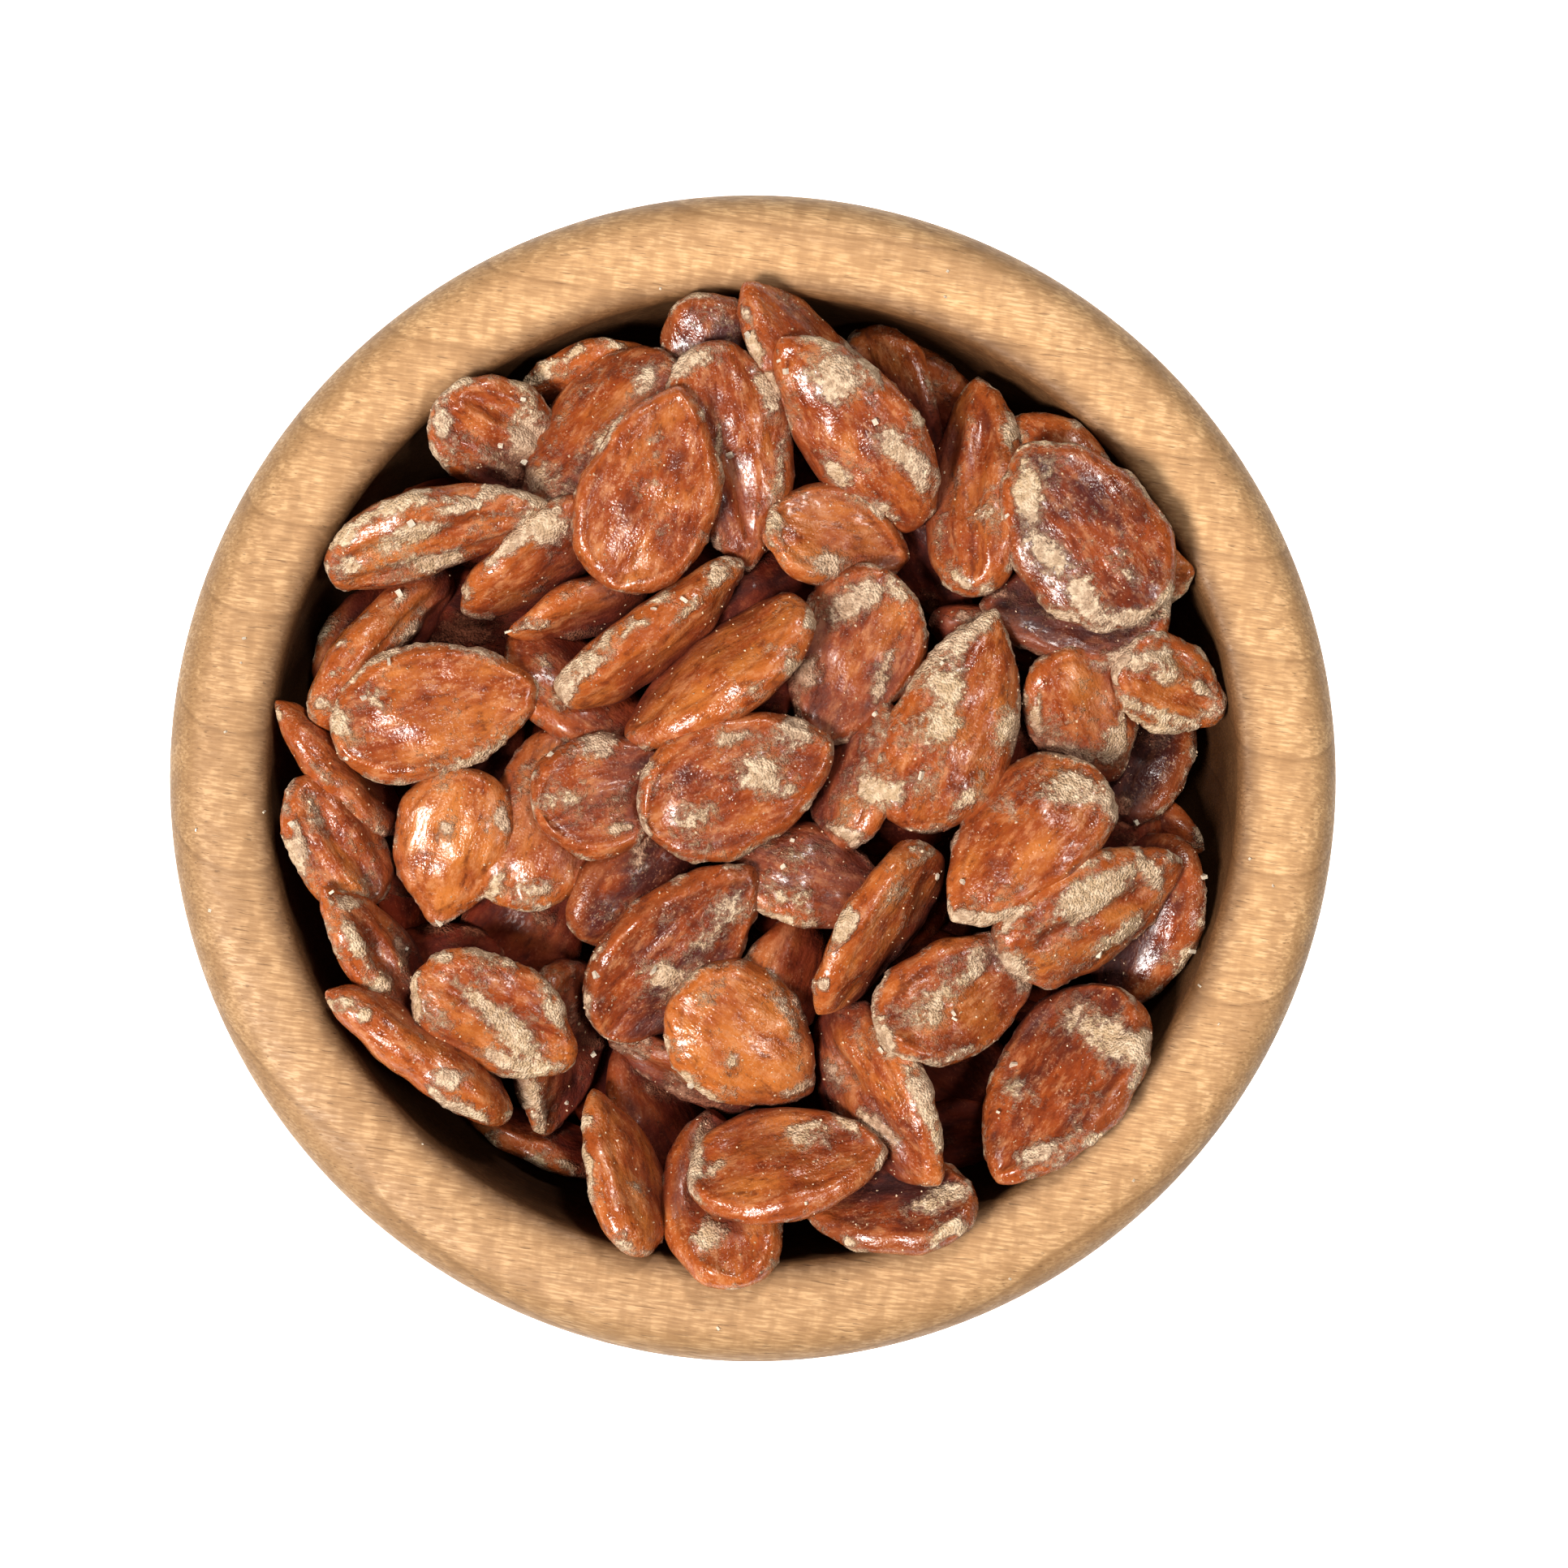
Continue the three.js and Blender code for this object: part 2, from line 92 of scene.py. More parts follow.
# The seeds that show, the lowest first, by tier: x and y of the middle, length, width, the way the tip
# points (degrees from +X towards +Y), how far the tip lifts, the roll that lifts its left side
# (degrees), its form, how purple its hull is and how much crust it has (0 to 1).
LAYOUT = {
    Tier.LOW: (
        (18.5, 36.5, 17, 10.5, 310, -10, 25, PLUMP, 0.5, 0.2),
        (-17, 34.5, 16, 10, 300, -10, 25, PLUMP, 0.8, 0.1),
        (-29.5, 25, 16.5, 10.5, 10, 0, 10, PLUMP, 0.4, 0.3),
        (-38.5, 13.5, 15, 10.5, 60, 0, 10, PLUMP, 0.8, 0.1),
        (17.5, 21.5, 15.5, 9.5, 298, 0, 25, PLUMP, 0.9, 0.2),
        (3.5, 32.5, 15.5, 9.5, 60, 0, 25, PLUMP, 0.6, 0.2),
        (1.5, 18, 16, 10.5, 30, 0, 0, PLUMP, 0.6, 0.2),
        (36, 21, 17, 10.5, 356, 8, 20, PLUMP, 0.3, 0.2),
        (40, -5, 13, 8, 340, 0, 20, PLUMP, 0.6, 0.2),
        (36.5, -4.5, 14, 9, 60, 0, 0, PLUMP, 0.4, 0.6),
        (27, 2, 15.5, 9.5, 76, 0, 25, PLUMP, 0.6, 0.5),
        (-23, -15.5, 18, 12, 50, 0, 0, PLUMP, 0.4, 0.1),
        (-32, -19.5, 15.5, 10, 20, 0, 0, PLUMP, 0.5, 0.2),
        (-34.5, -3.5, 17, 10.5, 96, 0, -25, PLUMP, 0.4, 0.2),
        (-27.5, 2, 14.5, 9, 60, 0, 0, PLUMP, 0.7, 0.1),
        (-27.5, 15.5, 17.5, 11, 4, 0, -5, PLUMP, 0.6, 0.5),
        (-17.5, 8.5, 17.5, 11, 324, 0, -30, PLUMP, 0.4, 0.1),
        (-0.5, 8.5, 14.5, 9, 20, 0, 0, PLUMP, 0.6, 0.1),
        (-11.5, -10, 17, 10.5, 44, 0, 25, PLUMP, 0.9, 0.1),
        (-10, -34, 17.5, 11, 116, 0, 30, PLUMP, 0.5, 0.1),
        (2.5, -20, 15.5, 9.5, 70, 0, 25, PLUMP, 0.3, 0.2),
        (21, -29.5, 15.5, 10, 324, 0, 5, PLUMP, 0.5, 0.3),
        (20.5, -36.5, 13, 8.5, 10, 0, 30, PLUMP, 0.6, 0.2),
        (-21.5, -36.5, 16, 7.5, 160, 0, 62, PLUMP, 0.5, 0.1),
    ),
    Tier.MIDDLE: (
        (-3, 39.5, 18.5, 11.5, 292, -14, 10, PLUMP, 0.95, 0.05),
        (14.5, 38.5, 16, 10, 294, -20, 35, GROOVED, 0.35, 0.1),
        (30.5, 28.5, 19, 11.5, 316, 0, 20, PLUMP, 0.4, 0.15),
        (-17, 40, 14, 8.5, 196, 0, -60, PLUMP, 0.3, 0.3),
        (-25, 33.5, 17, 11.5, 330, -8, 0, RIDGED, 0.45, 0.6),
        (-15.5, 33.5, 21.5, 12.5, 228, 0, 38, PLUMP, 0.4, 0.25),
        (-42, 1, 18, 9, 132, 0, 62, PLUMP, 0.3, 0.2),
        (-41.5, -6.5, 15, 9.5, 122, 6, 35, RIDGED, 0.35, 0.4),
        (-37.5, -17.5, 18.5, 9.5, 124, 10, 52, RIDGED, 0.4, 0.4),
        (10, 1, 16.5, 10, 78, 0, -35, PLUMP, 0.35, 0.35),
        (24.5, 13.5, 15.5, 7.5, 340, 0, 60, PLUMP, 0.2, 0.2),
        (39.5, 3, 16.5, 10, 64, 0, -15, PLUMP, 0.95, 0.2),
        (31.5, 16.5, 19, 12, 176, 0, 25, DISHED, 0.75, 0.2),
        (39.5, -15, 19.5, 12, 250, 0, 30, PLUMP, 0.8, 0.15),
        (5.5, -10, 16.5, 10.5, 342, 0, -15, PLUMP, 0.5, 0.55),
        (-13.5, -39.5, 17.5, 9.5, 108, 0, 52, PLUMP, 0.25, 0.1),
        (-3.5, -41.5, 19, 12, 100, -12, 0, DISHED, 0.3, 0.12),
        (13.5, -43, 17.5, 10.5, 184, 0, 20, DISHED, 0.8, 0.15),
        (5.5, 41, 22, 11.5, 132, 4, 35, PLUMP, 0.45, 0.1),
        (22, 29, 23, 11, 88, 0, -45, RIDGED, 0.35, 0.15),
        (-22, 22, 19, 10.5, 216, 0, -50, PLUMP, 0.35, 0.35),
        (-17.5, 16.5, 15, 8, 200, 0, -55, PLUMP, 0.3, 0.25),
        (-37, 13, 21, 10, 50, 0, 60, RIDGED, 0.3, 0.15),
        (-31.5, 24, 23, 10.5, 16, 0, 50, RIDGED, 0.35, 0.6),
        (-21, -4, 19, 12, 76, 0, 0, PLUMP, 0.2, 0.15),
        (-7.5, -29.5, 17, 8.5, 156, 0, -60, GROOVED, 0.25, 0.5),
        (-33, -27, 22.5, 8.5, 144, 0, 70, PLUMP, 0.35, 0.2),
        (-20, -27.5, 18.5, 11.5, 262, 0, -30, DISHED, 0.35, 0.25),
        (32.5, 6, 15.5, 11.5, 300, -8, 0, PLUMP, 0.3, 0.2),
        (41, 9, 13.5, 9.5, 332, -8, 5, RIDGED, 0.35, 0.4),
    ),
    Tier.TOP: (
        (-2.5, 31.5, 23, 13, 280, 0, -20, GROOVED, 0.5, 0.15),
        (9.5, 34, 23.5, 12, 128, 0, -35, PLUMP, 0.45, 0.35),
        (8, 23.5, 15.5, 10.5, 348, 0, -5, SADDLE, 0.2, 0.3),
        (-10, 14, 22.5, 9, 38, 0, 62, PLUMP, 0.25, 0.25),
        (9.5, 11.5, 19, 13, 248, 0, 0, DISHED, 0.5, 0.5),
        (-4, 10.5, 22.5, 11.5, 216, 0, 42, PLUMP, 0.2, 0.05),
        (-14, -1.5, 16.5, 12, 12, 0, 0, DISHED, 0.55, 0.35),
        (-8, -17, 23, 13, 48, 0, 20, DISHED, 0.7, 0.2),
        (12.5, -31.5, 21, 13, 300, 0, 45, GROOVED, 0.3, 0.4),
        (3, -38, 20, 12.5, 10, 0, -35, DISHED, 0.35, 0.15),
        (20.5, -21, 20, 12, 28, 0, 30, SADDLE, 0.45, 0.35),
        (11.5, -15, 20, 12.5, 236, 0, -45, PLUMP, 0.3, 0.12),
        (30.5, -31, 23, 14.5, 236, 0, 18, DISHED, 0.65, 0.4),
        (33, -13, 21, 13, 28, 0, 40, GROOVED, 0.35, 0.55),
        (-31.5, 6.5, 21, 13, 14, 0, 0, DISHED, 0.3, 0.4),
        (-30, -7, 16.5, 12, 256, 0, -10, PLUMP, 0.0, 0.1),
        (-26, -24, 18.5, 11.5, 330, 0, 25, GROOVED, 0.3, 0.5),
        (19.5, 5.5, 23.5, 13, 68, 0, -5, PLUMP, 0.4, 0.55),
        (32, 24, 21, 15.5, 128, 0, -5, PLUMP, 0.75, 0.4),
        (26, -6.5, 21, 13, 226, 0, 0, PLUMP, 0.35, 0.4),
        (-2, -0.5, 20.5, 14, 24, 0, -5, DISHED, 0.5, 0.35),
        (-1, -26, 17.5, 13.5, 322, 0, 0, PLUMP, 0.05, 0.3),
        (-10.5, 28, 21, 14, 72, 0, 0, DISHED, 0.35, 0.08),
    ),
}

# Where dried crust lies on the seeds that show, as seen from above: x and y of its middle, its half
# length, its half width, the way its length runs (degrees from +X) and how thick it is (0 to 1).
CRUSTS = (
    # the upper left
    (-22.7, 33.1, 2.2, 1.8, -60, 0.8), (-31.1, 34.6, 2.5, 0.8, 100, 0.8), (-22.7, 29.7, 1.5, 1.0, 0, 0.7),
    (-33.7, 23.9, 3.6, 0.7, 15, 0.9), (-29.1, 26.3, 2.4, 0.6, 15, 0.9), (-25.4, 28.0, 2.2, 0.5, 5, 0.8),
    (-30.9, 21.1, 2.0, 0.6, 15, 0.9), (-40.7, 20.5, 1.2, 0.9, 0, 0.8), (-40.0, 23.9, 1.3, 0.7, 50, 0.7),
    (-23.9, 23.3, 2.6, 0.6, 50, 0.8), (-20.6, 23.9, 1.2, 0.7, 0, 0.5), (-14.1, 34.3, 2.5, 0.3, 55, 0.8),
    (-3.8, 32.1, 3.0, 0.3, 95, 0.8), (-10.5, 33.2, 0.6, 0.4, 20, 0.5), (-11.1, 38.5, 1.4, 0.7, 60, 0.7),
    (-5.9, 41.3, 2.2, 0.9, 25, 0.8), (0.9, 38.2, 2.5, 0.7, -65, 0.9), (2.4, 30.9, 3.5, 0.6, 80, 0.9),
    (-4.4, 23.3, 1.3, 0.8, 0, 0.7), (-7.4, 16.0, 2.6, 0.5, 45, 0.8), (-19.0, 8.3, 1.3, 0.9, 0, 0.9),
    (-3.8, 19.6, 1.4, 0.6, 50, 0.8), (-34.3, 14.1, 2.0, 0.5, 40, 0.8), (-32.8, 16.2, 0.7, 0.6, 0, 0.8),
    (-41.2, 5.3, 1.9, 0.9, 120, 0.9), (-37.1, 7.1, 1.5, 0.4, -40, 0.6), (-35.8, 12.1, 3.0, 0.4, 20, 0.7),
    (-21.2, 15.0, 1.5, 0.4, 15, 0.6), (-17.5, 14.1, 2.0, 0.5, 10, 0.7), (-28.2, 14.7, 2.2, 1.5, 0, 0.8),
    (-20.9, 11.4, 1.8, 0.9, -60, 0.8), (-14.5, 3.4, 1.6, 1.0, 20, 0.8), (-21.5, 39.2, 1.2, 0.7, 20, 0.6),
    (-43.5, 13.2, 1.6, 0.6, 70, 0.8), (-10.0, 31.5, 1.0, 0.3, 30, 0.4), (-8.0, 27.0, 0.8, 0.2, -50, 0.5),
    # the upper right
    (8.1, 39.2, 2.4, 1.6, -60, 1.0), (13.0, 33.1, 1.7, 1.2, -50, 0.9), (15.7, 30.0, 2.3, 0.7, -70, 0.9),
    (8.1, 29.7, 1.2, 0.5, -50, 0.8), (12.1, 26.3, 2.0, 0.6, -30, 0.8), (9.9, 41.6, 1.8, 0.5, -50, 0.8),
    (24.9, 33.7, 1.7, 0.9, -70, 0.9), (21.2, 34.9, 1.6, 0.4, 85, 0.7), (18.2, 25.1, 1.4, 0.6, 85, 0.8),
    (21.2, 25.7, 1.1, 0.6, 0, 0.6), (20.3, 19.0, 1.5, 0.6, -50, 0.8), (23.7, 18.1, 1.1, 0.4, 0, 0.7),
    (26.7, 27.3, 3.2, 1.1, -80, 1.0), (28.8, 21.8, 3.0, 1.3, -55, 1.0), (32.2, 17.5, 2.8, 1.1, -45, 1.0),
    (37.4, 15.7, 3.2, 0.7, 5, 1.0), (40.5, 16.9, 1.6, 0.8, 50, 0.9), (35.7, 21.8, 0.9, 0.6, 0, 0.7),
    (36.2, 19.9, 1.1, 0.5, -30, 0.7), (6.4, 21.2, 1.3, 1.0, 0, 0.8), (1.7, 25.1, 0.9, 0.6, 60, 0.7),
    (10.2, 17.2, 2.7, 0.9, 30, 0.9), (13.0, 11.7, 1.8, 0.6, 60, 0.7), (5.0, 9.9, 1.6, 1.2, 0, 0.6),
    (13.9, 18.1, 1.0, 0.6, 0, 0.7), (17.1, 15.4, 1.8, 0.4, 85, 0.8), (12.1, 8.6, 1.8, 0.5, 60, 0.6),
    (20.9, 14.1, 2.7, 1.0, 45, 0.9), (18.8, 8.6, 1.5, 1.2, 0, 0.7), (19.4, 5.0, 2.0, 1.6, 0, 0.6),
    (36.2, 11.4, 1.5, 1.0, 0, 0.9), (40.5, 9.9, 1.1, 0.7, 0, 0.7), (39.2, 12.0, 1.0, 0.5, 0, 0.7),
    (44.1, 8.6, 1.1, 0.5, -30, 0.8), (39.5, 6.4, 4.0, 0.6, -20, 0.9), (44.7, 6.5, 1.4, 0.8, 30, 0.9),
    (35.6, 3.7, 1.4, 0.9, 60, 0.9), (30.4, 2.5, 3.0, 0.6, -10, 0.8), (27.5, 6.5, 1.4, 0.4, 80, 0.7),
    (36.2, 5.9, 1.5, 0.4, 95, 0.8), (30.7, 15.7, 2.2, 0.7, -10, 0.7), (26.1, 4.4, 1.6, 1.3, 0, 0.8),
    (39.5, 4.0, 2.0, 1.2, 20, 0.6), (11.0, 36.5, 0.8, 0.5, 0, 0.5), (33.0, 25.8, 0.4, 0.4, 0, 0.6),
    # the lower left
    (-30.5, -5.1, 1.0, 0.9, 0, 0.7), (-25.7, -10.6, 1.3, 0.6, 60, 0.9), (-25.0, -4.4, 1.2, 0.4, -70, 0.8),
    (-31.6, -14.7, 1.8, 0.4, 10, 0.9), (-34.3, -12.1, 1.0, 0.5, -40, 0.5), (-21.2, -10.9, 1.1, 0.6, 0, 0.7),
    (-18.7, -2.3, 1.7, 1.4, 0, 0.6), (-13.2, -5.1, 1.3, 0.4, 10, 0.9), (-11.4, -6.0, 2.0, 0.6, 80, 1.0),
    (-12.0, -0.2, 2.2, 0.4, 45, 0.9), (-9.9, -1.4, 1.3, 0.8, 20, 0.6), (-6.8, -4.4, 1.8, 1.3, 20, 0.6),
    (0.8, -0.2, 1.6, 1.5, 0, 0.7), (2.9, -1.4, 1.6, 0.8, 50, 0.7), (3.5, 5.0, 1.1, 1.0, 0, 0.8),
    (-1.9, 4.0, 1.8, 0.5, 15, 0.7), (-4.1, -13.9, 2.5, 1.3, 50, 0.7), (-9.0, -19.4, 1.1, 0.9, 0, 0.8),
    (-17.5, -23.7, 1.6, 0.7, -60, 1.0), (-14.5, -26.3, 2.5, 0.5, -15, 0.9),
    (-5.3, -21.8, 1.7, 1.0, 30, 0.7),
    (-6.8, -20.0, 1.7, 0.5, 40, 0.8), (3.5, -24.9, 2.2, 0.7, -70, 0.9), (3.8, -30.7, 2.0, 0.4, 20, 0.8),
    (-27.3, -22.2, 3.4, 0.7, -42, 0.9), (-23.6, -25.5, 1.9, 1.1, -60, 0.9),
    (-25.1, -27.7, 2.2, 0.6, -15, 0.9),
    (-19.3, -24.0, 1.5, 0.6, -50, 0.9), (-22.4, -28.9, 2.4, 0.4, 10, 0.8), (-30.6, -18.2, 0.8, 0.6, 0, 0.7),
    (-33.7, -21.9, 2.5, 0.3, 100, 0.7), (-39.5, -16.4, 2.6, 0.5, -60, 0.9),
    (-40.1, -12.4, 1.2, 0.8, 0, 0.8),
    (-34.9, -17.0, 1.5, 0.4, -70, 0.9), (-36.7, -20.3, 0.8, 0.7, 0, 0.8), (-42.8, -4.4, 2.4, 0.6, -55, 0.7),
    (-40.7, -5.4, 1.7, 0.5, -50, 0.7), (-45.0, -5.7, 1.6, 0.4, -75, 0.8), (-38.0, -23.4, 1.1, 0.6, 20, 0.8),
    (-30.3, -29.2, 1.6, 0.7, -15, 0.8), (-30.9, -31.6, 1.9, 0.4, -40, 0.8),
    (-28.5, -32.8, 1.6, 0.4, -20, 0.8),
    (-22.4, -31.0, 2.6, 1.2, -60, 0.9), (-18.4, -34.7, 1.5, 0.5, 20, 0.8),
    (-7.4, -29.5, 1.5, 0.4, -20, 0.8),
    (-7.1, -31.0, 3.4, 0.6, -15, 0.9), (-11.4, -28.9, 1.6, 0.4, -30, 0.8),
    (-21.2, -13.6, 1.2, 0.9, -70, 0.7),
    (-23.6, -18.2, 0.9, 0.5, 0, 0.7), (-22.1, -38.3, 3.0, 0.3, -20, 0.8),
    (-11.7, -40.5, 1.3, 0.5, -40, 0.7),
    (-16.4, -39.3, 2.2, 0.3, -80, 0.7), (-5.9, -37.4, 4.0, 0.6, 75, 0.9), (-5.3, -45.1, 1.4, 0.8, 20, 0.8),
    (-3.8, -38.0, 1.4, 0.5, 50, 0.6), (-6.0, -25.5, 0.6, 0.4, 0, 0.5), (-2.5, -27.8, 0.5, 0.5, 0, 0.7),
    # the lower right
    (29.2, -1.1, 2.6, 1.5, 0, 0.8), (24.3, -3.2, 2.0, 1.2, 0, 0.5), (21.2, -13.9, 2.0, 0.5, -10, 0.9),
    (25.2, -13.6, 1.9, 0.5, 15, 0.8), (33.1, -11.5, 4.2, 1.1, 25, 1.0), (38.6, -9.0, 1.9, 0.8, -60, 0.9),
    (36.2, -15.1, 2.3, 0.7, 35, 0.9), (25.2, -18.8, 1.7, 0.5, -50, 0.8), (41.4, -17.6, 1.5, 1.1, 0, 0.6),
    (45.0, -6.3, 1.6, 0.5, -40, 0.8), (39.8, -23.1, 1.1, 0.6, 0, 0.8), (13.6, -11.8, 1.7, 0.8, 50, 0.6),
    (16.9, -7.8, 1.6, 0.4, 30, 0.8), (5.9, -20.6, 0.9, 0.6, 0, 0.8), (12.4, -20.0, 1.8, 0.3, 55, 0.7),
    (16.9, -22.8, 2.3, 1.4, 50, 0.8), (20.9, -19.7, 1.5, 0.7, 40, 0.8), (12.7, -26.1, 1.5, 0.8, -50, 0.8),
    (19.7, -27.3, 3.0, 0.5, 20, 0.7), (16.0, -30.7, 3.0, 0.8, -70, 0.9), (12.7, -35.0, 2.3, 0.9, -40, 0.9),
    (9.0, -34.1, 1.7, 0.6, -50, 0.8), (7.2, -29.5, 1.8, 0.6, -80, 0.7), (34.3, -25.2, 3.2, 2.0, -20, 0.7),
    (36.5, -26.1, 1.7, 1.2, 0, 0.8), (27.3, -31.6, 1.3, 1.0, 0, 0.6), (27.6, -37.1, 1.6, 0.7, 20, 0.9),
    (18.8, -40.8, 1.7, 1.0, 20, 0.7), (19.4, -44.4, 1.7, 0.5, 15, 0.8), (8.4, -5.4, 2.0, 0.5, -30, 0.8),
    (3.8, -7.8, 2.0, 1.0, 0, 0.5), (35.6, -2.6, 1.8, 1.6, 0, 0.8), (4.4, -35.0, 1.6, 0.8, 10, 0.6),
    (13.0, -1.7, 1.7, 1.3, 0, 0.9), (20.9, -1.7, 1.4, 0.8, 60, 0.8), (9.9, -5.7, 1.5, 0.4, 10, 0.7),
)

# How many rings and sides a seed of each tier has.
FINENESS = {Tier.LOW: (34, 36), Tier.MIDDLE: (52, 52), Tier.TOP: (66, 64)}


# ---- nodes ----


@dataclass(frozen=True)
class Pattern:
    """A noise: the size of its lumps, its octaves, the finer ones' share, and how it is squeezed."""

    size: float
    detail: float = 2
    roughness: float = 0.5
    squeeze: Triple | None = None


class Graph:
    """Lays nodes in a tree and joins them."""

    def __init__(self, tree: bpy.types.NodeTree) -> None:
        """Keeps the tree and empties it."""
        self.tree = tree
        self.tree.nodes.clear()

    def add(self, kind: str, inputs: dict | None = None, **settings: object) -> bpy.types.Node:
        """Adds a node.

        Args:
            kind: the node's type.
            inputs: by socket name or number, a value to set or a socket to join.
            settings: the node's own properties.

        Returns:
            The new node.
        """
        node = self.tree.nodes.new(kind)
        for name, value in settings.items():
            setattr(node, name, value)
        self.feed(node, inputs or {})
        return node

    def feed(self, node: bpy.types.Node, inputs: dict) -> None:
        """Joins a node's inputs to other sockets, or sets their values.

        Args:
            node: the node.
            inputs: by socket name or number, an output socket or a plain value.
        """
        for name, value in inputs.items():
            if isinstance(value, bpy.types.NodeSocket):
                self.tree.links.new(value, node.inputs[name])
            else:
                node.inputs[name].default_value = value

    def math(self, operation: str, *values: object) -> bpy.types.NodeSocket:
        """Works on sockets or numbers with a Math node."""
        return self.add("ShaderNodeMath", dict(enumerate(values)), operation=operation).outputs[0]

    def plus(self, one: object, other: object) -> bpy.types.NodeSocket:
        """Adds two sockets or numbers."""
        return self.math("ADD", one, other)

    def minus(self, one: object, other: object) -> bpy.types.NodeSocket:
        """Takes the second socket or number from the first."""
        return self.math("SUBTRACT", one, other)

    def times(self, one: object, other: object) -> bpy.types.NodeSocket:
        """Multiplies two sockets or numbers."""
        return self.math("MULTIPLY", one, other)

    def ramp(
        self, value: object, low: float, high: float, to_low: float = 0, to_high: float = 1
    ) -> bpy.types.NodeSocket:
        """Maps a range from low to high onto another one, with soft ends."""
        inputs = {0: value, 1: low, 2: high, 3: to_low, 4: to_high}
        return self.add("ShaderNodeMapRange", inputs, interpolation_type="SMOOTHSTEP").outputs[0]

    def mix(self, factor: object, one: object, other: object, blend: str = "MIX") -> bpy.types.NodeSocket:
        """Mixes two colours.

        Args:
            factor: how much of the other colour.
            one: the first colour.
            other: the second colour.
            blend: the way they mix.

        Returns:
            The mixed colour's socket.
        """
        inputs = {0: factor, 6: one, 7: other}
        node = self.add("ShaderNodeMix", inputs, data_type="RGBA", blend_type=blend, clamp_factor=True)
        return node.outputs[2]

    def noise(self, vector: object, pattern: Pattern) -> bpy.types.NodeSocket:
        """Adds a noise.

        Args:
            vector: where it is read, in metres.
            pattern: what kind of noise it is.

        Returns:
            The noise's value, around 0.5.
        """
        if pattern.squeeze:
            vector = self.squeezed(vector, pattern.squeeze)
        scale = 1 / (pattern.size * MM)
        inputs = {"Vector": vector, "Scale": scale, "Detail": pattern.detail, "Roughness": pattern.roughness}
        return self.add("ShaderNodeTexNoise", inputs).outputs[0]

    def grains(self, vector: object, size: bpy.types.NodeSocket) -> bpy.types.NodeSocket:
        """Gives each place's distance from the middle of its grain, whose size is in millimetres."""
        inputs = {"Vector": vector, "Scale": self.math("DIVIDE", 1 / MM, size)}
        return self.add("ShaderNodeTexVoronoi", inputs, feature="F1").outputs["Distance"]

    def squeezed(self, vector: object, scale: Triple) -> bpy.types.NodeSocket:
        """Scales a vector along its axes, so that what reads it is stretched where the scale is small."""
        return self.add("ShaderNodeMapping", {"Vector": vector, "Scale": scale}).outputs[0]

    def attribute(self, name: str, output: str = "Fac") -> bpy.types.NodeSocket:
        """Reads one of the mesh's attributes."""
        return self.add("ShaderNodeAttribute", attribute_name=name).outputs[output]

    def place(self) -> bpy.types.NodeSocket:
        """Reads Object coordinates, in metres."""
        return self.add("ShaderNodeTexCoord").outputs["Object"]

    def bump(self, height: object, strength: float, depth: float) -> bpy.types.NodeSocket:
        """Turns a height into a normal. The depth is in millimetres."""
        inputs = {"Height": height, "Strength": strength, "Distance": depth * MM}
        return self.add("ShaderNodeBump", inputs).outputs[0]

    def group(self, tree: bpy.types.NodeTree, inputs: dict) -> bpy.types.bpy_prop_collection:
        """Places a node group.

        Args:
            tree: the group's tree.
            inputs: its sockets' values.

        Returns:
            The group's outputs.
        """
        node = self.tree.nodes.new("ShaderNodeGroup")
        node.node_tree = tree
        self.feed(node, inputs)
        return node.outputs


def shader_group(
    name: str, inputs: dict[str, str], outputs: dict[str, str]
) -> tuple[Graph, bpy.types.bpy_prop_collection, bpy.types.Node]:
    """Starts a shader group with named sockets.

    Args:
        name: the group's name.
        inputs: each input's name and socket kind.
        outputs: each output's name and socket kind.

    Returns:
        The graph, what it is given and the node that takes what it makes.
    """
    tree = bpy.data.node_groups.new(name, "ShaderNodeTree")
    for way, sockets in (("INPUT", inputs), ("OUTPUT", outputs)):
        for socket, kind in sockets.items():
            tree.interface.new_socket(socket, in_out=way, socket_type=kind)
    graph = Graph(tree)
    return graph, graph.add("NodeGroupInput").outputs, graph.add("NodeGroupOutput")


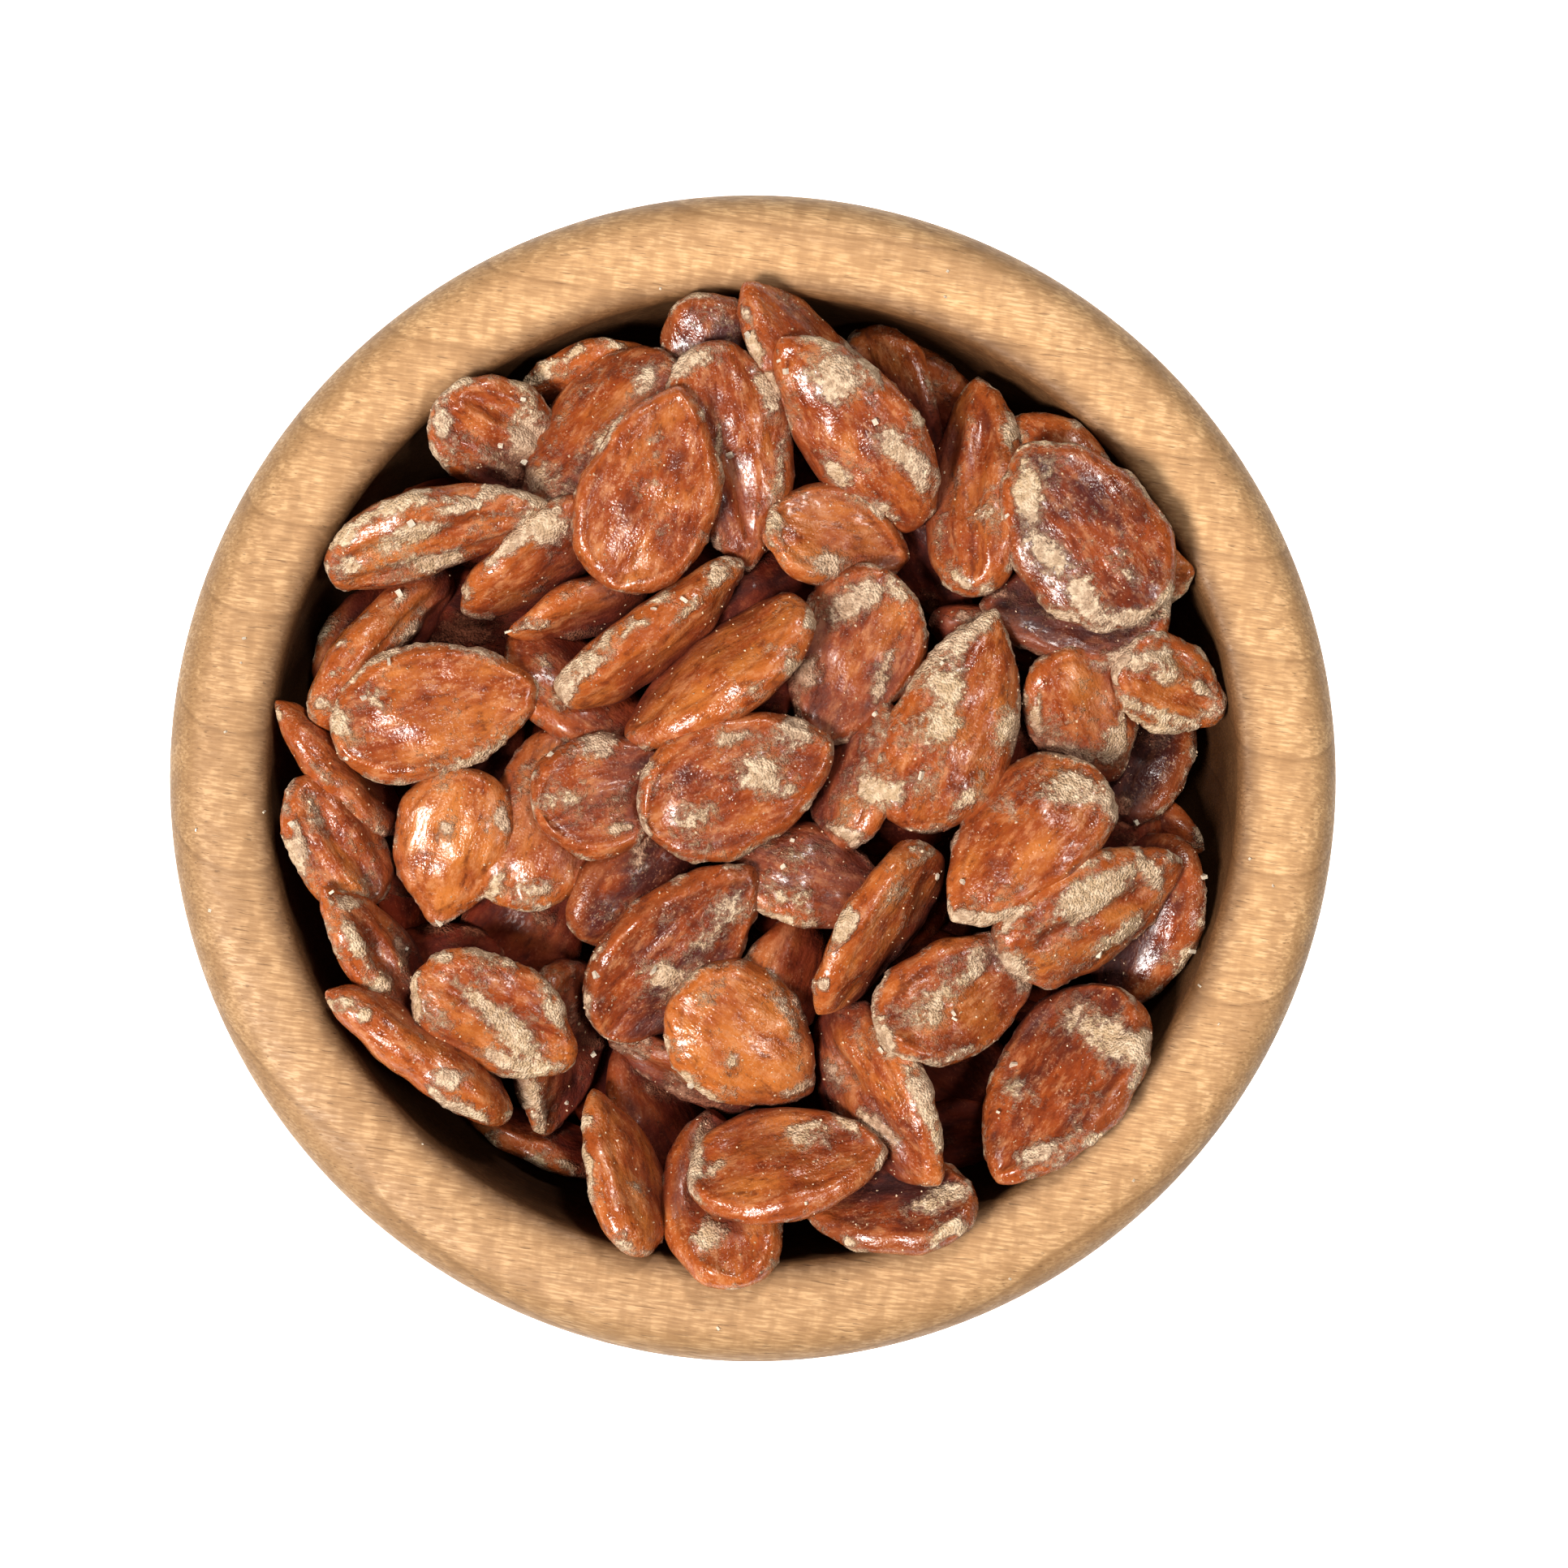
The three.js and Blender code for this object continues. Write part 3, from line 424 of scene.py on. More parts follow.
@dataclass(frozen=True)
class DriedCrust:
    """The group that breaks a soft mask into the ragged, grainy edge of dried crust."""

    tan: Colour = (0.46, 0.315, 0.21, 1)
    warm_tan: Colour = (0.55, 0.39, 0.235, 1)
    pale: Colour = (0.82, 0.635, 0.45, 1)
    pit: Colour = (0.34, 0.18, 0.10, 1)
    ragged: Pattern = Pattern(0.9, 4, 0.78)
    raggedness: float = 1.5
    film: Ramp = (0.3, 0.6, 0.0, 0.45)
    whole: Ramp = (0.53, 0.61, 0.0, 0.94)
    tinted: Pattern = Pattern(9)
    tint: Ramp = (0.35, 0.65)
    mottled: Pattern = Pattern(0.7, 2)
    mottle: Ramp = (0.4, 0.66, 0.0, 0.8)
    pitted: Pattern = Pattern(0.5, 3, 0.6)
    pits: Ramp = (0.24, 0.38)
    pit_floor: float = 0.4

    def tree(self) -> bpy.types.NodeTree:
        """Builds the group.

        Returns:
            The group's tree.
        """
        graph, given, made = shader_group(
            "dried_crust",
            {"Vector": VECTOR, "Cover": VALUE, "Grain mm": VALUE},
            {"Mask": VALUE, "Colour": COLOUR, "Height": VALUE},
        )
        where = given["Vector"]
        ragged = graph.minus(graph.noise(where, self.ragged), 0.5)
        level = graph.plus(given["Cover"], graph.times(ragged, self.raggedness))
        pits = graph.ramp(graph.noise(where, self.pitted), *self.pits)
        tan = graph.mix(graph.ramp(graph.noise(where, self.tinted), *self.tint), self.tan, self.warm_tan)
        pale = graph.mix(graph.ramp(graph.noise(where, self.mottled), *self.mottle), tan, self.pale)
        pitted = graph.plus(self.pit_floor, graph.times(pits, 1 - self.pit_floor))
        graph.feed(
            made,
            {
                "Mask": graph.math("MAXIMUM", graph.ramp(level, *self.film), graph.ramp(level, *self.whole)),
                "Colour": graph.mix(pits, self.pit, pale),
                "Height": graph.times(graph.minus(1.0, graph.grains(where, given["Grain mm"])), pitted),
            },
        )
        return graph.tree


@dataclass(frozen=True)
class PebbledHull:
    """The group for the fine skin of a roasted hull, whose wrinkles run along X."""

    ripple: Pattern = Pattern(0.75, 3, 0.6, (0.36, 1, 1))
    ripple_height: float = 1.5
    pebble_height: float = -0.3
    grit: Pattern = Pattern(0.22, 1, 0.6)
    grit_height: float = 0.3
    skin: Pattern = Pattern(1.5, 4, 0.75, (0.6, 1, 1))
    skin_wear: float = 0.6
    ripple_wear: float = 0.4
    strewn: Pattern = Pattern(3.0, 3, 0.6)
    strewing: Ramp = (0.45, 0.62, 0.12, 1.0)
    speckled: Pattern = Pattern(0.3, 2, 0.6)
    specks: Ramp = (0.56, 0.68)
    glinting: Pattern = Pattern(0.3, 2, 0.6, (0.6, 1, 1))
    glints: Ramp = (0.47, 0.62)

    def tree(self) -> bpy.types.NodeTree:
        """Builds the group.

        Returns:
            The group's tree.
        """
        graph, given, made = shader_group(
            "pebbled_hull",
            {"Vector": VECTOR, "Pebble mm": VALUE},
            {"Height": VALUE, "Wear": VALUE, "Specks": VALUE, "Glints": VALUE},
        )
        where = given["Vector"]
        ripple = graph.noise(where, self.ripple)
        pebbles = graph.times(graph.grains(where, given["Pebble mm"]), self.pebble_height)
        raised = graph.plus(pebbles, graph.times(ripple, self.ripple_height))
        skin = graph.times(graph.noise(where, self.skin), self.skin_wear)
        strewn = graph.ramp(graph.noise(where, self.strewn), *self.strewing)
        specks = graph.ramp(graph.noise(where, self.speckled), *self.specks)
        graph.feed(
            made,
            {
                "Height": graph.plus(raised, graph.times(graph.noise(where, self.grit), self.grit_height)),
                "Wear": graph.plus(skin, graph.times(ripple, self.ripple_wear)),
                "Specks": graph.times(specks, strewn),
                "Glints": graph.ramp(graph.noise(where, self.glinting), *self.glints),
            },
        )
        return graph.tree


@dataclass(frozen=True)
class SolidWood:
    """The group for solid wood with its fibres along X and its growth rings around a far heart."""

    light: Colour = (0.65, 0.395, 0.20, 1)
    plain: Colour = (0.53, 0.31, 0.15, 1)
    dark: Colour = (0.42, 0.235, 0.11, 1)
    fleck: Colour = (0.90, 0.60, 0.34, 1)
    dent: Colour = (0.36, 0.20, 0.095, 1)
    line: Colour = (0.28, 0.145, 0.06, 1)
    pore: Colour = (0.16, 0.085, 0.04, 1)
    # painted shade: the wood's colour is multiplied down on one side of the bowl
    shaded_side: Colour = (0.74, 0.73, 0.71, 1)
    lit_side: Colour = (1.0, 1.0, 0.98, 1)
    fibre_angle: float = 8  # degrees from X
    heart_across: float = 42.0
    heart_below: float = 6.0
    bending: Pattern = Pattern(22, 2, 0.5, (0.25, 1, 1))
    ring_wander: float = 5.0
    late: Ramp = (0.5, 0.97)
    late_share: float = 0.28
    line_rise: Ramp = (0.93, 0.975)
    line_fall: Ramp = (1.0, 0.98)
    line_share: float = 0.34
    flecked: Pattern = Pattern(0.24, 2, 0.5, (0.12, 1, 0.9))
    bright_flecks: Ramp = (0.49, 0.62)
    dim_flecks: Ramp = (0.47, 0.35)
    dim_share: float = 0.35
    streaked: Pattern = Pattern(0.8, 3, 0.6, (0.06, 1, 1))
    streaks: Ramp = (0.42, 0.72)
    streak_share: float = 0.35
    patched: Pattern = Pattern(2.0, 3, 0.5, (1.3, 0.55, 1))
    patches: Ramp = (0.36, 0.66)
    fleck_patches: Ramp = (0.4, 0.6, 0.2, 0.55)
    late_flecks: Ramp = (0.0, 1.0, 1.0, 0.5)
    porous: Pattern = Pattern(0.2, 1, 0.5, (0.08, 1, 1))
    pores: Ramp = (0.33, 0.27)
    pore_share: float = 0.45
    pore_depth: float = 0.8
    lit_side_way: tuple[float, float] = (0.6, 0.8)
    lit_side_half: float = 46
    lit_side_bend: float = 10

    def tree(self) -> bpy.types.NodeTree:
        """Builds the group.

        Returns:
            The group's tree.
        """
        graph, given, made = shader_group(
            "solid_wood",
            {"Vector": VECTOR, "Ring mm": VALUE},
            {"Colour": COLOUR, "Height": VALUE, "Gloss": VALUE, "Radius mm": VALUE, "Depth mm": VALUE},
        )
        turn = (0, 0, math.radians(self.fibre_angle))
        where = graph.add("ShaderNodeMapping", {"Vector": given["Vector"], "Rotation": turn}).outputs[0]
        x, y, z = graph.add("ShaderNodeSeparateXYZ", {0: where}).outputs
        bend = graph.noise(where, self.bending)
        flecks = graph.noise(where, self.flecked)
        streaks = graph.noise(where, self.streaked)
        pores = graph.ramp(graph.noise(where, self.porous), *self.pores)
        colour = self.grained(graph, where, self.season(graph, y, z, bend, given["Ring mm"]), flecks, streaks)
        porous = graph.mix(graph.times(pores, self.pore_share), colour, self.pore)
        radius = graph.add(
            "ShaderNodeVectorMath", {0: graph.squeezed(where, (1 / MM, 1 / MM, 0))}, operation="LENGTH"
        )
        graph.feed(
            made,
            {
                # painted shade over one side of the wood
                "Colour": graph.mix(1.0, porous, self.side_shading(graph, x, y, bend), "MULTIPLY"),
                "Height": graph.minus(flecks, graph.times(pores, self.pore_depth)),
                "Gloss": graph.times(streaks, flecks),
                "Radius mm": radius.outputs["Value"],
                "Depth mm": graph.minus(RIM_PLANE, graph.times(z, 1 / MM)),
            },
        )
        return graph.tree

    def season(self, graph: Graph, y: object, z: object, bend: object, ring: object) -> bpy.types.NodeSocket:
        """How far into its year's ring each place lies.

        Args:
            graph: the group's graph.
            y: places across the fibres.
            z: heights.
            bend: the noise that bends the rings.
            ring: a ring's breadth in millimetres.

        Returns:
            The share of the ring, from 0 to 1.
        """
        across = graph.plus(graph.times(y, 1 / MM), self.heart_across)
        deep = graph.plus(graph.times(z, 1 / MM), self.heart_below)
        squares = graph.plus(graph.math("POWER", across, 2.0), graph.math("POWER", deep, 2.0))
        wandering = graph.plus(graph.math("SQRT", squares), graph.times(bend, self.ring_wander))
        return graph.math("FRACT", graph.math("DIVIDE", wandering, ring))

    def grained(
        self, graph: Graph, where: object, season: object, flecks: object, streaks: object
    ) -> bpy.types.NodeSocket:
        """Colours the wood by its patches, streaks, rings and flecks.

        Args:
            graph: the group's graph.
            where: the place, turned along the fibres.
            season: how far into its ring a place lies.
            flecks: the noise of short bright and dim flecks.
            streaks: the noise of long streaks.

        Returns:
            The colour.
        """
        late = graph.ramp(season, *self.late)
        line = graph.times(graph.ramp(season, *self.line_rise), graph.ramp(season, *self.line_fall))
        patches = graph.noise(where, self.patched)
        plain = graph.mix(graph.ramp(patches, *self.patches), self.plain, self.light)
        shaded = graph.mix(graph.times(graph.ramp(streaks, *self.streaks), self.streak_share), plain, self.dark)
        ringed = graph.mix(graph.times(late, self.late_share), shaded, self.dark)
        shown = graph.times(graph.ramp(patches, *self.fleck_patches), graph.ramp(late, *self.late_flecks))
        bright = graph.times(graph.ramp(flecks, *self.bright_flecks), shown)
        dim = graph.times(graph.ramp(flecks, *self.dim_flecks), self.dim_share)
        dented = graph.mix(dim, graph.mix(bright, ringed, self.fleck), self.dent)
        return graph.mix(graph.times(line, self.line_share), dented, self.line)

    def side_shading(self, graph: Graph, x: object, y: object, bend: object) -> bpy.types.NodeSocket:
        """Paints shade over the wood: darker towards -X and -Y, lighter towards +X and +Y.

        Args:
            graph: the group's graph.
            x: places along the fibres.
            y: places across them.
            bend: the noise that bends the border.

        Returns:
            The painted shade, a colour that the wood is multiplied by.
        """
        slanted = graph.plus(graph.times(x, self.lit_side_way[0]), graph.times(y, self.lit_side_way[1]))
        bent = graph.plus(slanted, graph.times(bend, self.lit_side_bend * MM))
        share = graph.ramp(bent, -self.lit_side_half * MM, self.lit_side_half * MM)
        return graph.mix(share, self.shaded_side, self.lit_side)


# ---- finishes ----


class Finish:
    """A material that is made once and given to the pieces that have it."""

    name = "finish"

    def material(self) -> bpy.types.Material:
        """Makes the material.

        Returns:
            The material, with its nodes in place.
        """
        made = bpy.data.materials.new(self.name)
        made.use_nodes = True
        graph = Graph(made.node_tree)
        shader = graph.add("ShaderNodeBsdfPrincipled")
        graph.add("ShaderNodeOutputMaterial", {"Surface": shader.outputs[0]})
        self.dress(graph, shader)
        return made

    def dress(self, graph: Graph, shader: bpy.types.Node) -> None:
        """Feeds the shader. Each finish has its own way."""
        raise NotImplementedError


@dataclass(frozen=True)
class OiledWood(Finish):
    """Bare wood, darkened at the mouth by an oily stain and painted shade, down the cavity's sides by painted
    shade, and at its outer edge by painted shade.

    It reads inside from the mesh: 1 from the rim's crown down into the cavity.
    """

    mouth: float
    rim: float
    name: str = "oiled_wood"
    ring: float = 7.4
    relief: float = 0.05
    relief_strength: float = 0.5
    # an oily stain and painted shade: the wood darkens over the mouth's round into the cavity
    oiled_and_shaded_from: float = 3.2
    oiled_and_shaded_to: float = -0.2
    oiled_and_shaded_share: float = 0.95
    oiled_and_shaded: Colour = (0.25, 0.185, 0.135, 1)
    # painted shade: the cavity's side darkens with depth below the rim, standing in for its shadow
    wall_shade_from: float = 0.6
    wall_shade_to: float = -0.2
    wall_shade_depths: Ramp = (1.2, 8.0)
    wall_shade_share: float = 0.95
    wall_shade: Colour = (0.26, 0.185, 0.12, 1)
    # painted shade: the outer edge darkens and greys where the rim slopes away from the light
    edge_shade_from: float = 4.2
    edge_shade_to: float = 0.4
    edge_shade_share: float = 0.75
    edge_shade: Colour = (0.62, 0.62, 0.58, 1)
    roughness: Ramp = (0.1, 0.5, 0.62, 0.42)
    specular: float = 0.35

    def dress(self, graph: Graph, shader: bpy.types.Node) -> None:
        """Lays the grain on the wood.

        Args:
            graph: the material's graph.
            shader: its Principled node.
        """
        wood = graph.group(SolidWood().tree(), {"Vector": graph.place(), "Ring mm": self.ring})
        radius = wood["Radius mm"]
        inside = graph.attribute("inside")
        # oily stain and painted shade towards the mouth
        oil_and_shade = graph.ramp(radius, self.mouth + self.oiled_and_shaded_from, self.mouth + self.oiled_and_shaded_to, 0.0, self.oiled_and_shaded_share)
        oiled_and_shaded = graph.mix(graph.times(oil_and_shade, inside), wood["Colour"], self.oiled_and_shaded, "MULTIPLY")
        # painted shade down the cavity's side
        within = graph.ramp(radius, self.mouth + self.wall_shade_from, self.mouth + self.wall_shade_to)
        low = graph.times(within, graph.ramp(wood["Depth mm"], *self.wall_shade_depths))
        shade = graph.times(low, graph.times(inside, self.wall_shade_share))
        shaded = graph.mix(shade, oiled_and_shaded, self.wall_shade, "MULTIPLY")
        # painted shade on the outer edge
        edge = graph.ramp(radius, self.rim - self.edge_shade_from, self.rim - self.edge_shade_to, 0.0, self.edge_shade_share)
        graph.feed(
            shader,
            {
                "Base Color": graph.mix(edge, shaded, self.edge_shade, "MULTIPLY"),
                "Roughness": graph.ramp(wood["Gloss"], *self.roughness),
                "Specular IOR Level": self.specular,
                "Normal": graph.bump(wood["Height"], self.relief_strength, self.relief),
            },
        )


@dataclass(frozen=True)
class RoastedHull(Finish):
    """A glossy roasted hull with patches of dried crust.

    It reads crust, tone, margin, depth and each seed's own place from the mesh; depth paints shade on it.
    """

    crust: bpy.types.NodeTree
    pebbles: bpy.types.NodeTree
    name: str = "roasted_hull"
    specular: float = 0.44
    pebble: float = 0.32
    grain: float = 0.24
    bright: Colour = (0.50, 0.169, 0.038, 1)
    deep: Colour = (0.295, 0.061, 0.015, 1)
    deep_tones: Ramp = (-0.15, 0.55)
    purple: Colour = (0.085, 0.020, 0.016, 1)
    purple_tones: Ramp = (0.4, 1.05)
    uneven: Pattern = Pattern(3.4, 3, 0.62, (0.6, 1, 1))
    unevenness: float = 2.0
    edge: Colour = (0.41, 0.102, 0.020, 1)
    edge_share: float = 0.5
    furrow: Colour = (0.13, 0.026, 0.012, 1)
    furrow_rise: Ramp = (0.02, 0.3)
    furrow_fall: Ramp = (0.8, 0.4)
    furrow_share: float = 0.3
    worn: Colour = (0.60, 0.27, 0.115, 1)
    worn_wear: Ramp = (0.49, 0.64, 0.0, 0.58)
    worn_tones: Ramp = (1.0, 0.4, 0.4, 1.0)
    burnt: Colour = (0.10, 0.018, 0.009, 1)
    burnt_wear: Ramp = (0.48, 0.36, 0.0, 0.62)
    dust: Colour = (0.74, 0.46, 0.29, 1)
    dust_share: float = 0.42
    # painted shade: places deep in the heap are darkened towards this colour
    heap_shade: Colour = (0.30, 0.09, 0.045, 1)
    heap_shade_share: float = 0.93
    gloss: Ramp = (0.38, 0.62, 0.16, 0.30)
    matt: float = 0.75
    coat_least: float = 0.06
    coat_glints: float = 0.8
    coat_roughness: float = 0.2
    crust_step: float = 0.9
    crust_height: float = 2.0
    relief: float = 0.1

    def dress(self, graph: Graph, shader: bpy.types.Node) -> None:
        """Colours the hull by its tone, lays the crust over it and makes the bare hull glossy.

        Args:
            graph: the material's graph.
            shader: its Principled node.
        """
        where = graph.place()
        own = graph.attribute("own", "Vector")
        depth = graph.attribute("depth")
        crust = graph.group(
            self.crust, {"Vector": where, "Cover": graph.attribute("crust"), "Grain mm": self.grain}
        )
        skin = graph.group(self.pebbles, {"Vector": own, "Pebble mm": self.pebble})
        crusted = graph.mix(crust["Mask"], self.bare_hull(graph, own, skin), crust["Colour"])
        matt = graph.math("MAXIMUM", crust["Mask"], depth)
        gloss = graph.ramp(skin["Wear"], *self.gloss)
        sparkle = graph.plus(self.coat_least, graph.times(skin["Glints"], self.coat_glints))
        step = graph.times(crust["Mask"], graph.plus(self.crust_step, crust["Height"]))
        height = graph.plus(skin["Height"], graph.times(step, self.crust_height))
        graph.feed(
            shader,
            {
                # painted shade where a place lies deep under the seeds around it
                "Base Color": graph.mix(graph.times(depth, self.heap_shade_share), crusted, self.heap_shade, "MULTIPLY"),
                "Roughness": graph.add("ShaderNodeMapRange", {0: matt, 3: gloss, 4: self.matt}).outputs[0],
                "Coat Weight": graph.times(graph.minus(1.0, matt), sparkle),
                "Coat Roughness": self.coat_roughness,
                "Specular IOR Level": self.specular,
                "Normal": graph.bump(height, 1.0, self.relief),
            },
        )

    def bare_hull(
        self, graph: Graph, own: bpy.types.NodeSocket, skin: bpy.types.bpy_prop_collection
    ) -> bpy.types.NodeSocket:
        """Colours the hull under the crust, from orange to purple by its tone.

        Args:
            graph: the material's graph.
            own: the place on the seed as it lies along X.
            skin: what the group of the hull's fine skin gives.

        Returns:
            The colour.
        """
        uneven = graph.times(graph.minus(graph.noise(own, self.uneven), 0.5), self.unevenness)
        tone = graph.plus(graph.attribute("tone"), uneven)
        margin = graph.attribute("margin")
        orange = graph.mix(graph.ramp(tone, *self.deep_tones), self.bright, self.deep)
        purple = graph.mix(graph.ramp(tone, *self.purple_tones), orange, self.purple)
        edged = graph.mix(graph.times(margin, self.edge_share), purple, self.edge)
        furrow = graph.times(graph.ramp(margin, *self.furrow_rise), graph.ramp(margin, *self.furrow_fall))
        lined = graph.mix(graph.times(furrow, self.furrow_share), edged, self.furrow)
        wear = graph.times(graph.ramp(skin["Wear"], *self.worn_wear), graph.ramp(tone, *self.worn_tones))
        burnt = graph.mix(graph.ramp(skin["Wear"], *self.burnt_wear), graph.mix(wear, lined, self.worn), self.burnt)
        return graph.mix(graph.times(skin["Specks"], self.dust_share), burnt, self.dust)


@dataclass(frozen=True)
class SaltGlaze(Finish):
    """Clear grains of salt with cloudy places."""

    name: str = "salt_crystal"
    clouds: Pattern = Pattern(0.5, 3)
    clear: Colour = (0.92, 0.76, 0.55, 1)
    cloudy: Colour = (0.98, 0.90, 0.76, 1)
    roughness: Ramp = (0.3, 0.7, 0.08, 0.35)
    transmission: float = 0.35
    refraction: float = 1.54

    def dress(self, graph: Graph, shader: bpy.types.Node) -> None:
        """Makes the salt clear, with cloudy places.

        Args:
            graph: the material's graph.
            shader: its Principled node.
        """
        cloud = graph.noise(graph.place(), self.clouds)
        graph.feed(
            shader,
            {
                "Base Color": graph.mix(cloud, self.clear, self.cloudy),
                "Roughness": graph.ramp(cloud, *self.roughness),
                "Transmission Weight": self.transmission,
                "IOR": self.refraction,
            },
        )


@dataclass(frozen=True)
class CrustGrain(Finish):
    """Opaque grains of the dried crust."""

    crust: bpy.types.NodeTree
    name: str = "crust_grain"
    grain: float = 0.2
    uneven: Pattern = Pattern(0.4)
    roughness: Ramp = (0.3, 0.7, 0.45, 0.75)

    def dress(self, graph: Graph, shader: bpy.types.Node) -> None:
        """Gives the grains the crust's own colour.

        Args:
            graph: the material's graph.
            shader: its Principled node.
        """
        where = graph.place()
        crust = graph.group(self.crust, {"Vector": where, "Cover": 1.0, "Grain mm": self.grain})
        rough = graph.ramp(graph.noise(where, self.uneven), *self.roughness)
        graph.feed(shader, {"Base Color": crust["Colour"], "Roughness": rough})


@dataclass(frozen=True)
class PaleFloor(Finish):
    """The plain white ground that the bowl stands on."""

    name: str = "pale_floor"
    grey: Colour = (0.90, 0.90, 0.90, 1)
    white: Colour = (0.93, 0.93, 0.92, 1)
    clouds: Pattern = Pattern(90)
    roughness: float = 0.9
    glow: float = 0.9
    bounce: float = 0.06

    def dress(self, graph: Graph, shader: bpy.types.Node) -> None:
        """Makes the floor white, and brighter to the eye than to the bowl.

        Args:
            graph: the material's graph.
            shader: its Principled node.
        """
        path = graph.add("ShaderNodeLightPath").outputs
        seen = graph.math("MAXIMUM", path["Is Camera Ray"], path["Is Glossy Ray"])
        graph.feed(
            shader,
            {
                "Base Color": graph.mix(graph.noise(graph.place(), self.clouds), self.grey, self.white),
                "Roughness": self.roughness,
                "Emission Color": (1, 1, 1, 1),
                "Emission Strength": graph.plus(self.bounce, graph.times(seen, self.glow)),
            },
        )


# ---- meshes ----


@dataclass
class MeshParts:
    """Points, faces and per-point values that are gathered for one piece, in millimetres."""

    points: list[np.ndarray] = field(default_factory=list)
    faces: list[np.ndarray] = field(default_factory=list)
    marks: dict[str, list[np.ndarray]] = field(default_factory=dict)
    own: list[np.ndarray] = field(default_factory=list)
    count: int = 0

    def add(self, points: np.ndarray, faces: list[np.ndarray], **marks: np.ndarray) -> None:
        """Adds one closed body.

        Args:
            points: its points.
            faces: its faces, as arrays of quads and of triangles.
            marks: named values, one for each point.
        """
        self.points.append(points)
        self.faces.extend(rows + self.count for rows in faces)
        self.count += len(points)
        for name, values in marks.items():
            self.marks.setdefault(name, []).append(values)

    def build(self, name: str, material: bpy.types.Material) -> bpy.types.Object:
        """Makes one smooth mesh object of all that was added.

        Args:
            name: the object's name.
            material: its material.

        Returns:
            The object, at the origin.
        """
        mesh = bpy.data.meshes.new(name)
        faces = [tuple(face) for rows in self.faces for face in rows.tolist()]
        mesh.from_pydata((np.concatenate(self.points) * MM).tolist(), [], faces)
        for mark, values in self.marks.items():
            layer = mesh.attributes.new(mark, "FLOAT", "POINT")
            layer.data.foreach_set("value", np.concatenate(values).astype(np.float32))
        if self.own:
            layer = mesh.attributes.new("own", "FLOAT_VECTOR", "POINT")
            layer.data.foreach_set("vector", (np.concatenate(self.own) * MM).astype(np.float32).ravel())
        mesh.polygons.foreach_set("use_smooth", np.ones(len(mesh.polygons), dtype=bool))
        mesh.materials.append(material)
        mesh.update()
        return linked(name, mesh)


def linked(name: str, data: bpy.types.ID) -> bpy.types.Object:
    """Puts a mesh, light or camera into the scene.

    Args:
        name: the object's name.
        data: what it holds.

    Returns:
        The object, at the origin.
    """
    made = bpy.data.objects.new(name, data)
    bpy.context.scene.collection.objects.link(made)
    return made


def turned(profile: np.ndarray, sides: int) -> np.ndarray:
    """Turns a profile round the axis.

    Args:
        profile: its points, as radius and height.
        sides: how many points a ring has.

    Returns:
        One ring for each point of the profile.
    """
    angles = np.linspace(0, 2 * math.pi, sides, endpoint=False)
    heights = np.repeat(profile[:, 1:], sides, axis=1)
    return np.stack([profile[:, :1] * np.cos(angles), profile[:, :1] * np.sin(angles), heights], axis=2)


def ring_faces(rings: int, sides: int) -> list[np.ndarray]:
    """Joins rings of points into a closed skin, with a point at each end after the rings.

    Args:
        rings: how many rings there are.
        sides: how many points a ring has.

    Returns:
        The quads between rings, and the triangles at the two ends.
    """
    here = np.arange(sides)
    beyond = (here + 1) % sides
    quads = [
        np.stack([start + here, start + beyond, start + sides + beyond, start + sides + here], 1)
        for start in range(0, (rings - 1) * sides, sides)
    ]
    last_ring = (rings - 1) * sides
    first = np.stack([np.full(sides, rings * sides), beyond, here], 1)
    last = np.stack([np.full(sides, rings * sides + 1), last_ring + here, last_ring + beyond], 1)
    return [np.concatenate(quads), first, last]


def smooth_step(values: np.ndarray, low: float, high: float) -> np.ndarray:
    """Rises softly from 0 at low to 1 at high, or falls where the first is the higher."""
    share = np.clip((values - low) / (high - low), 0, 1)
    return share * share * (3 - 2 * share)


def hump(values: np.ndarray, middle: float, half: float) -> np.ndarray:
    """Rises to 1 at the middle and is about a third half a breadth away."""
    return np.exp(-(((values - middle) / half) ** 2))


def lumps(points: np.ndarray, size: float, octaves: int = 2) -> np.ndarray:
    """Noise around 0 at points given in rows, with lumps of a size in millimetres."""
    return np.array([noise.fractal(point, 1.0, 2.0, octaves) for point in (points / size).tolist()])


# ---- the bowl ----


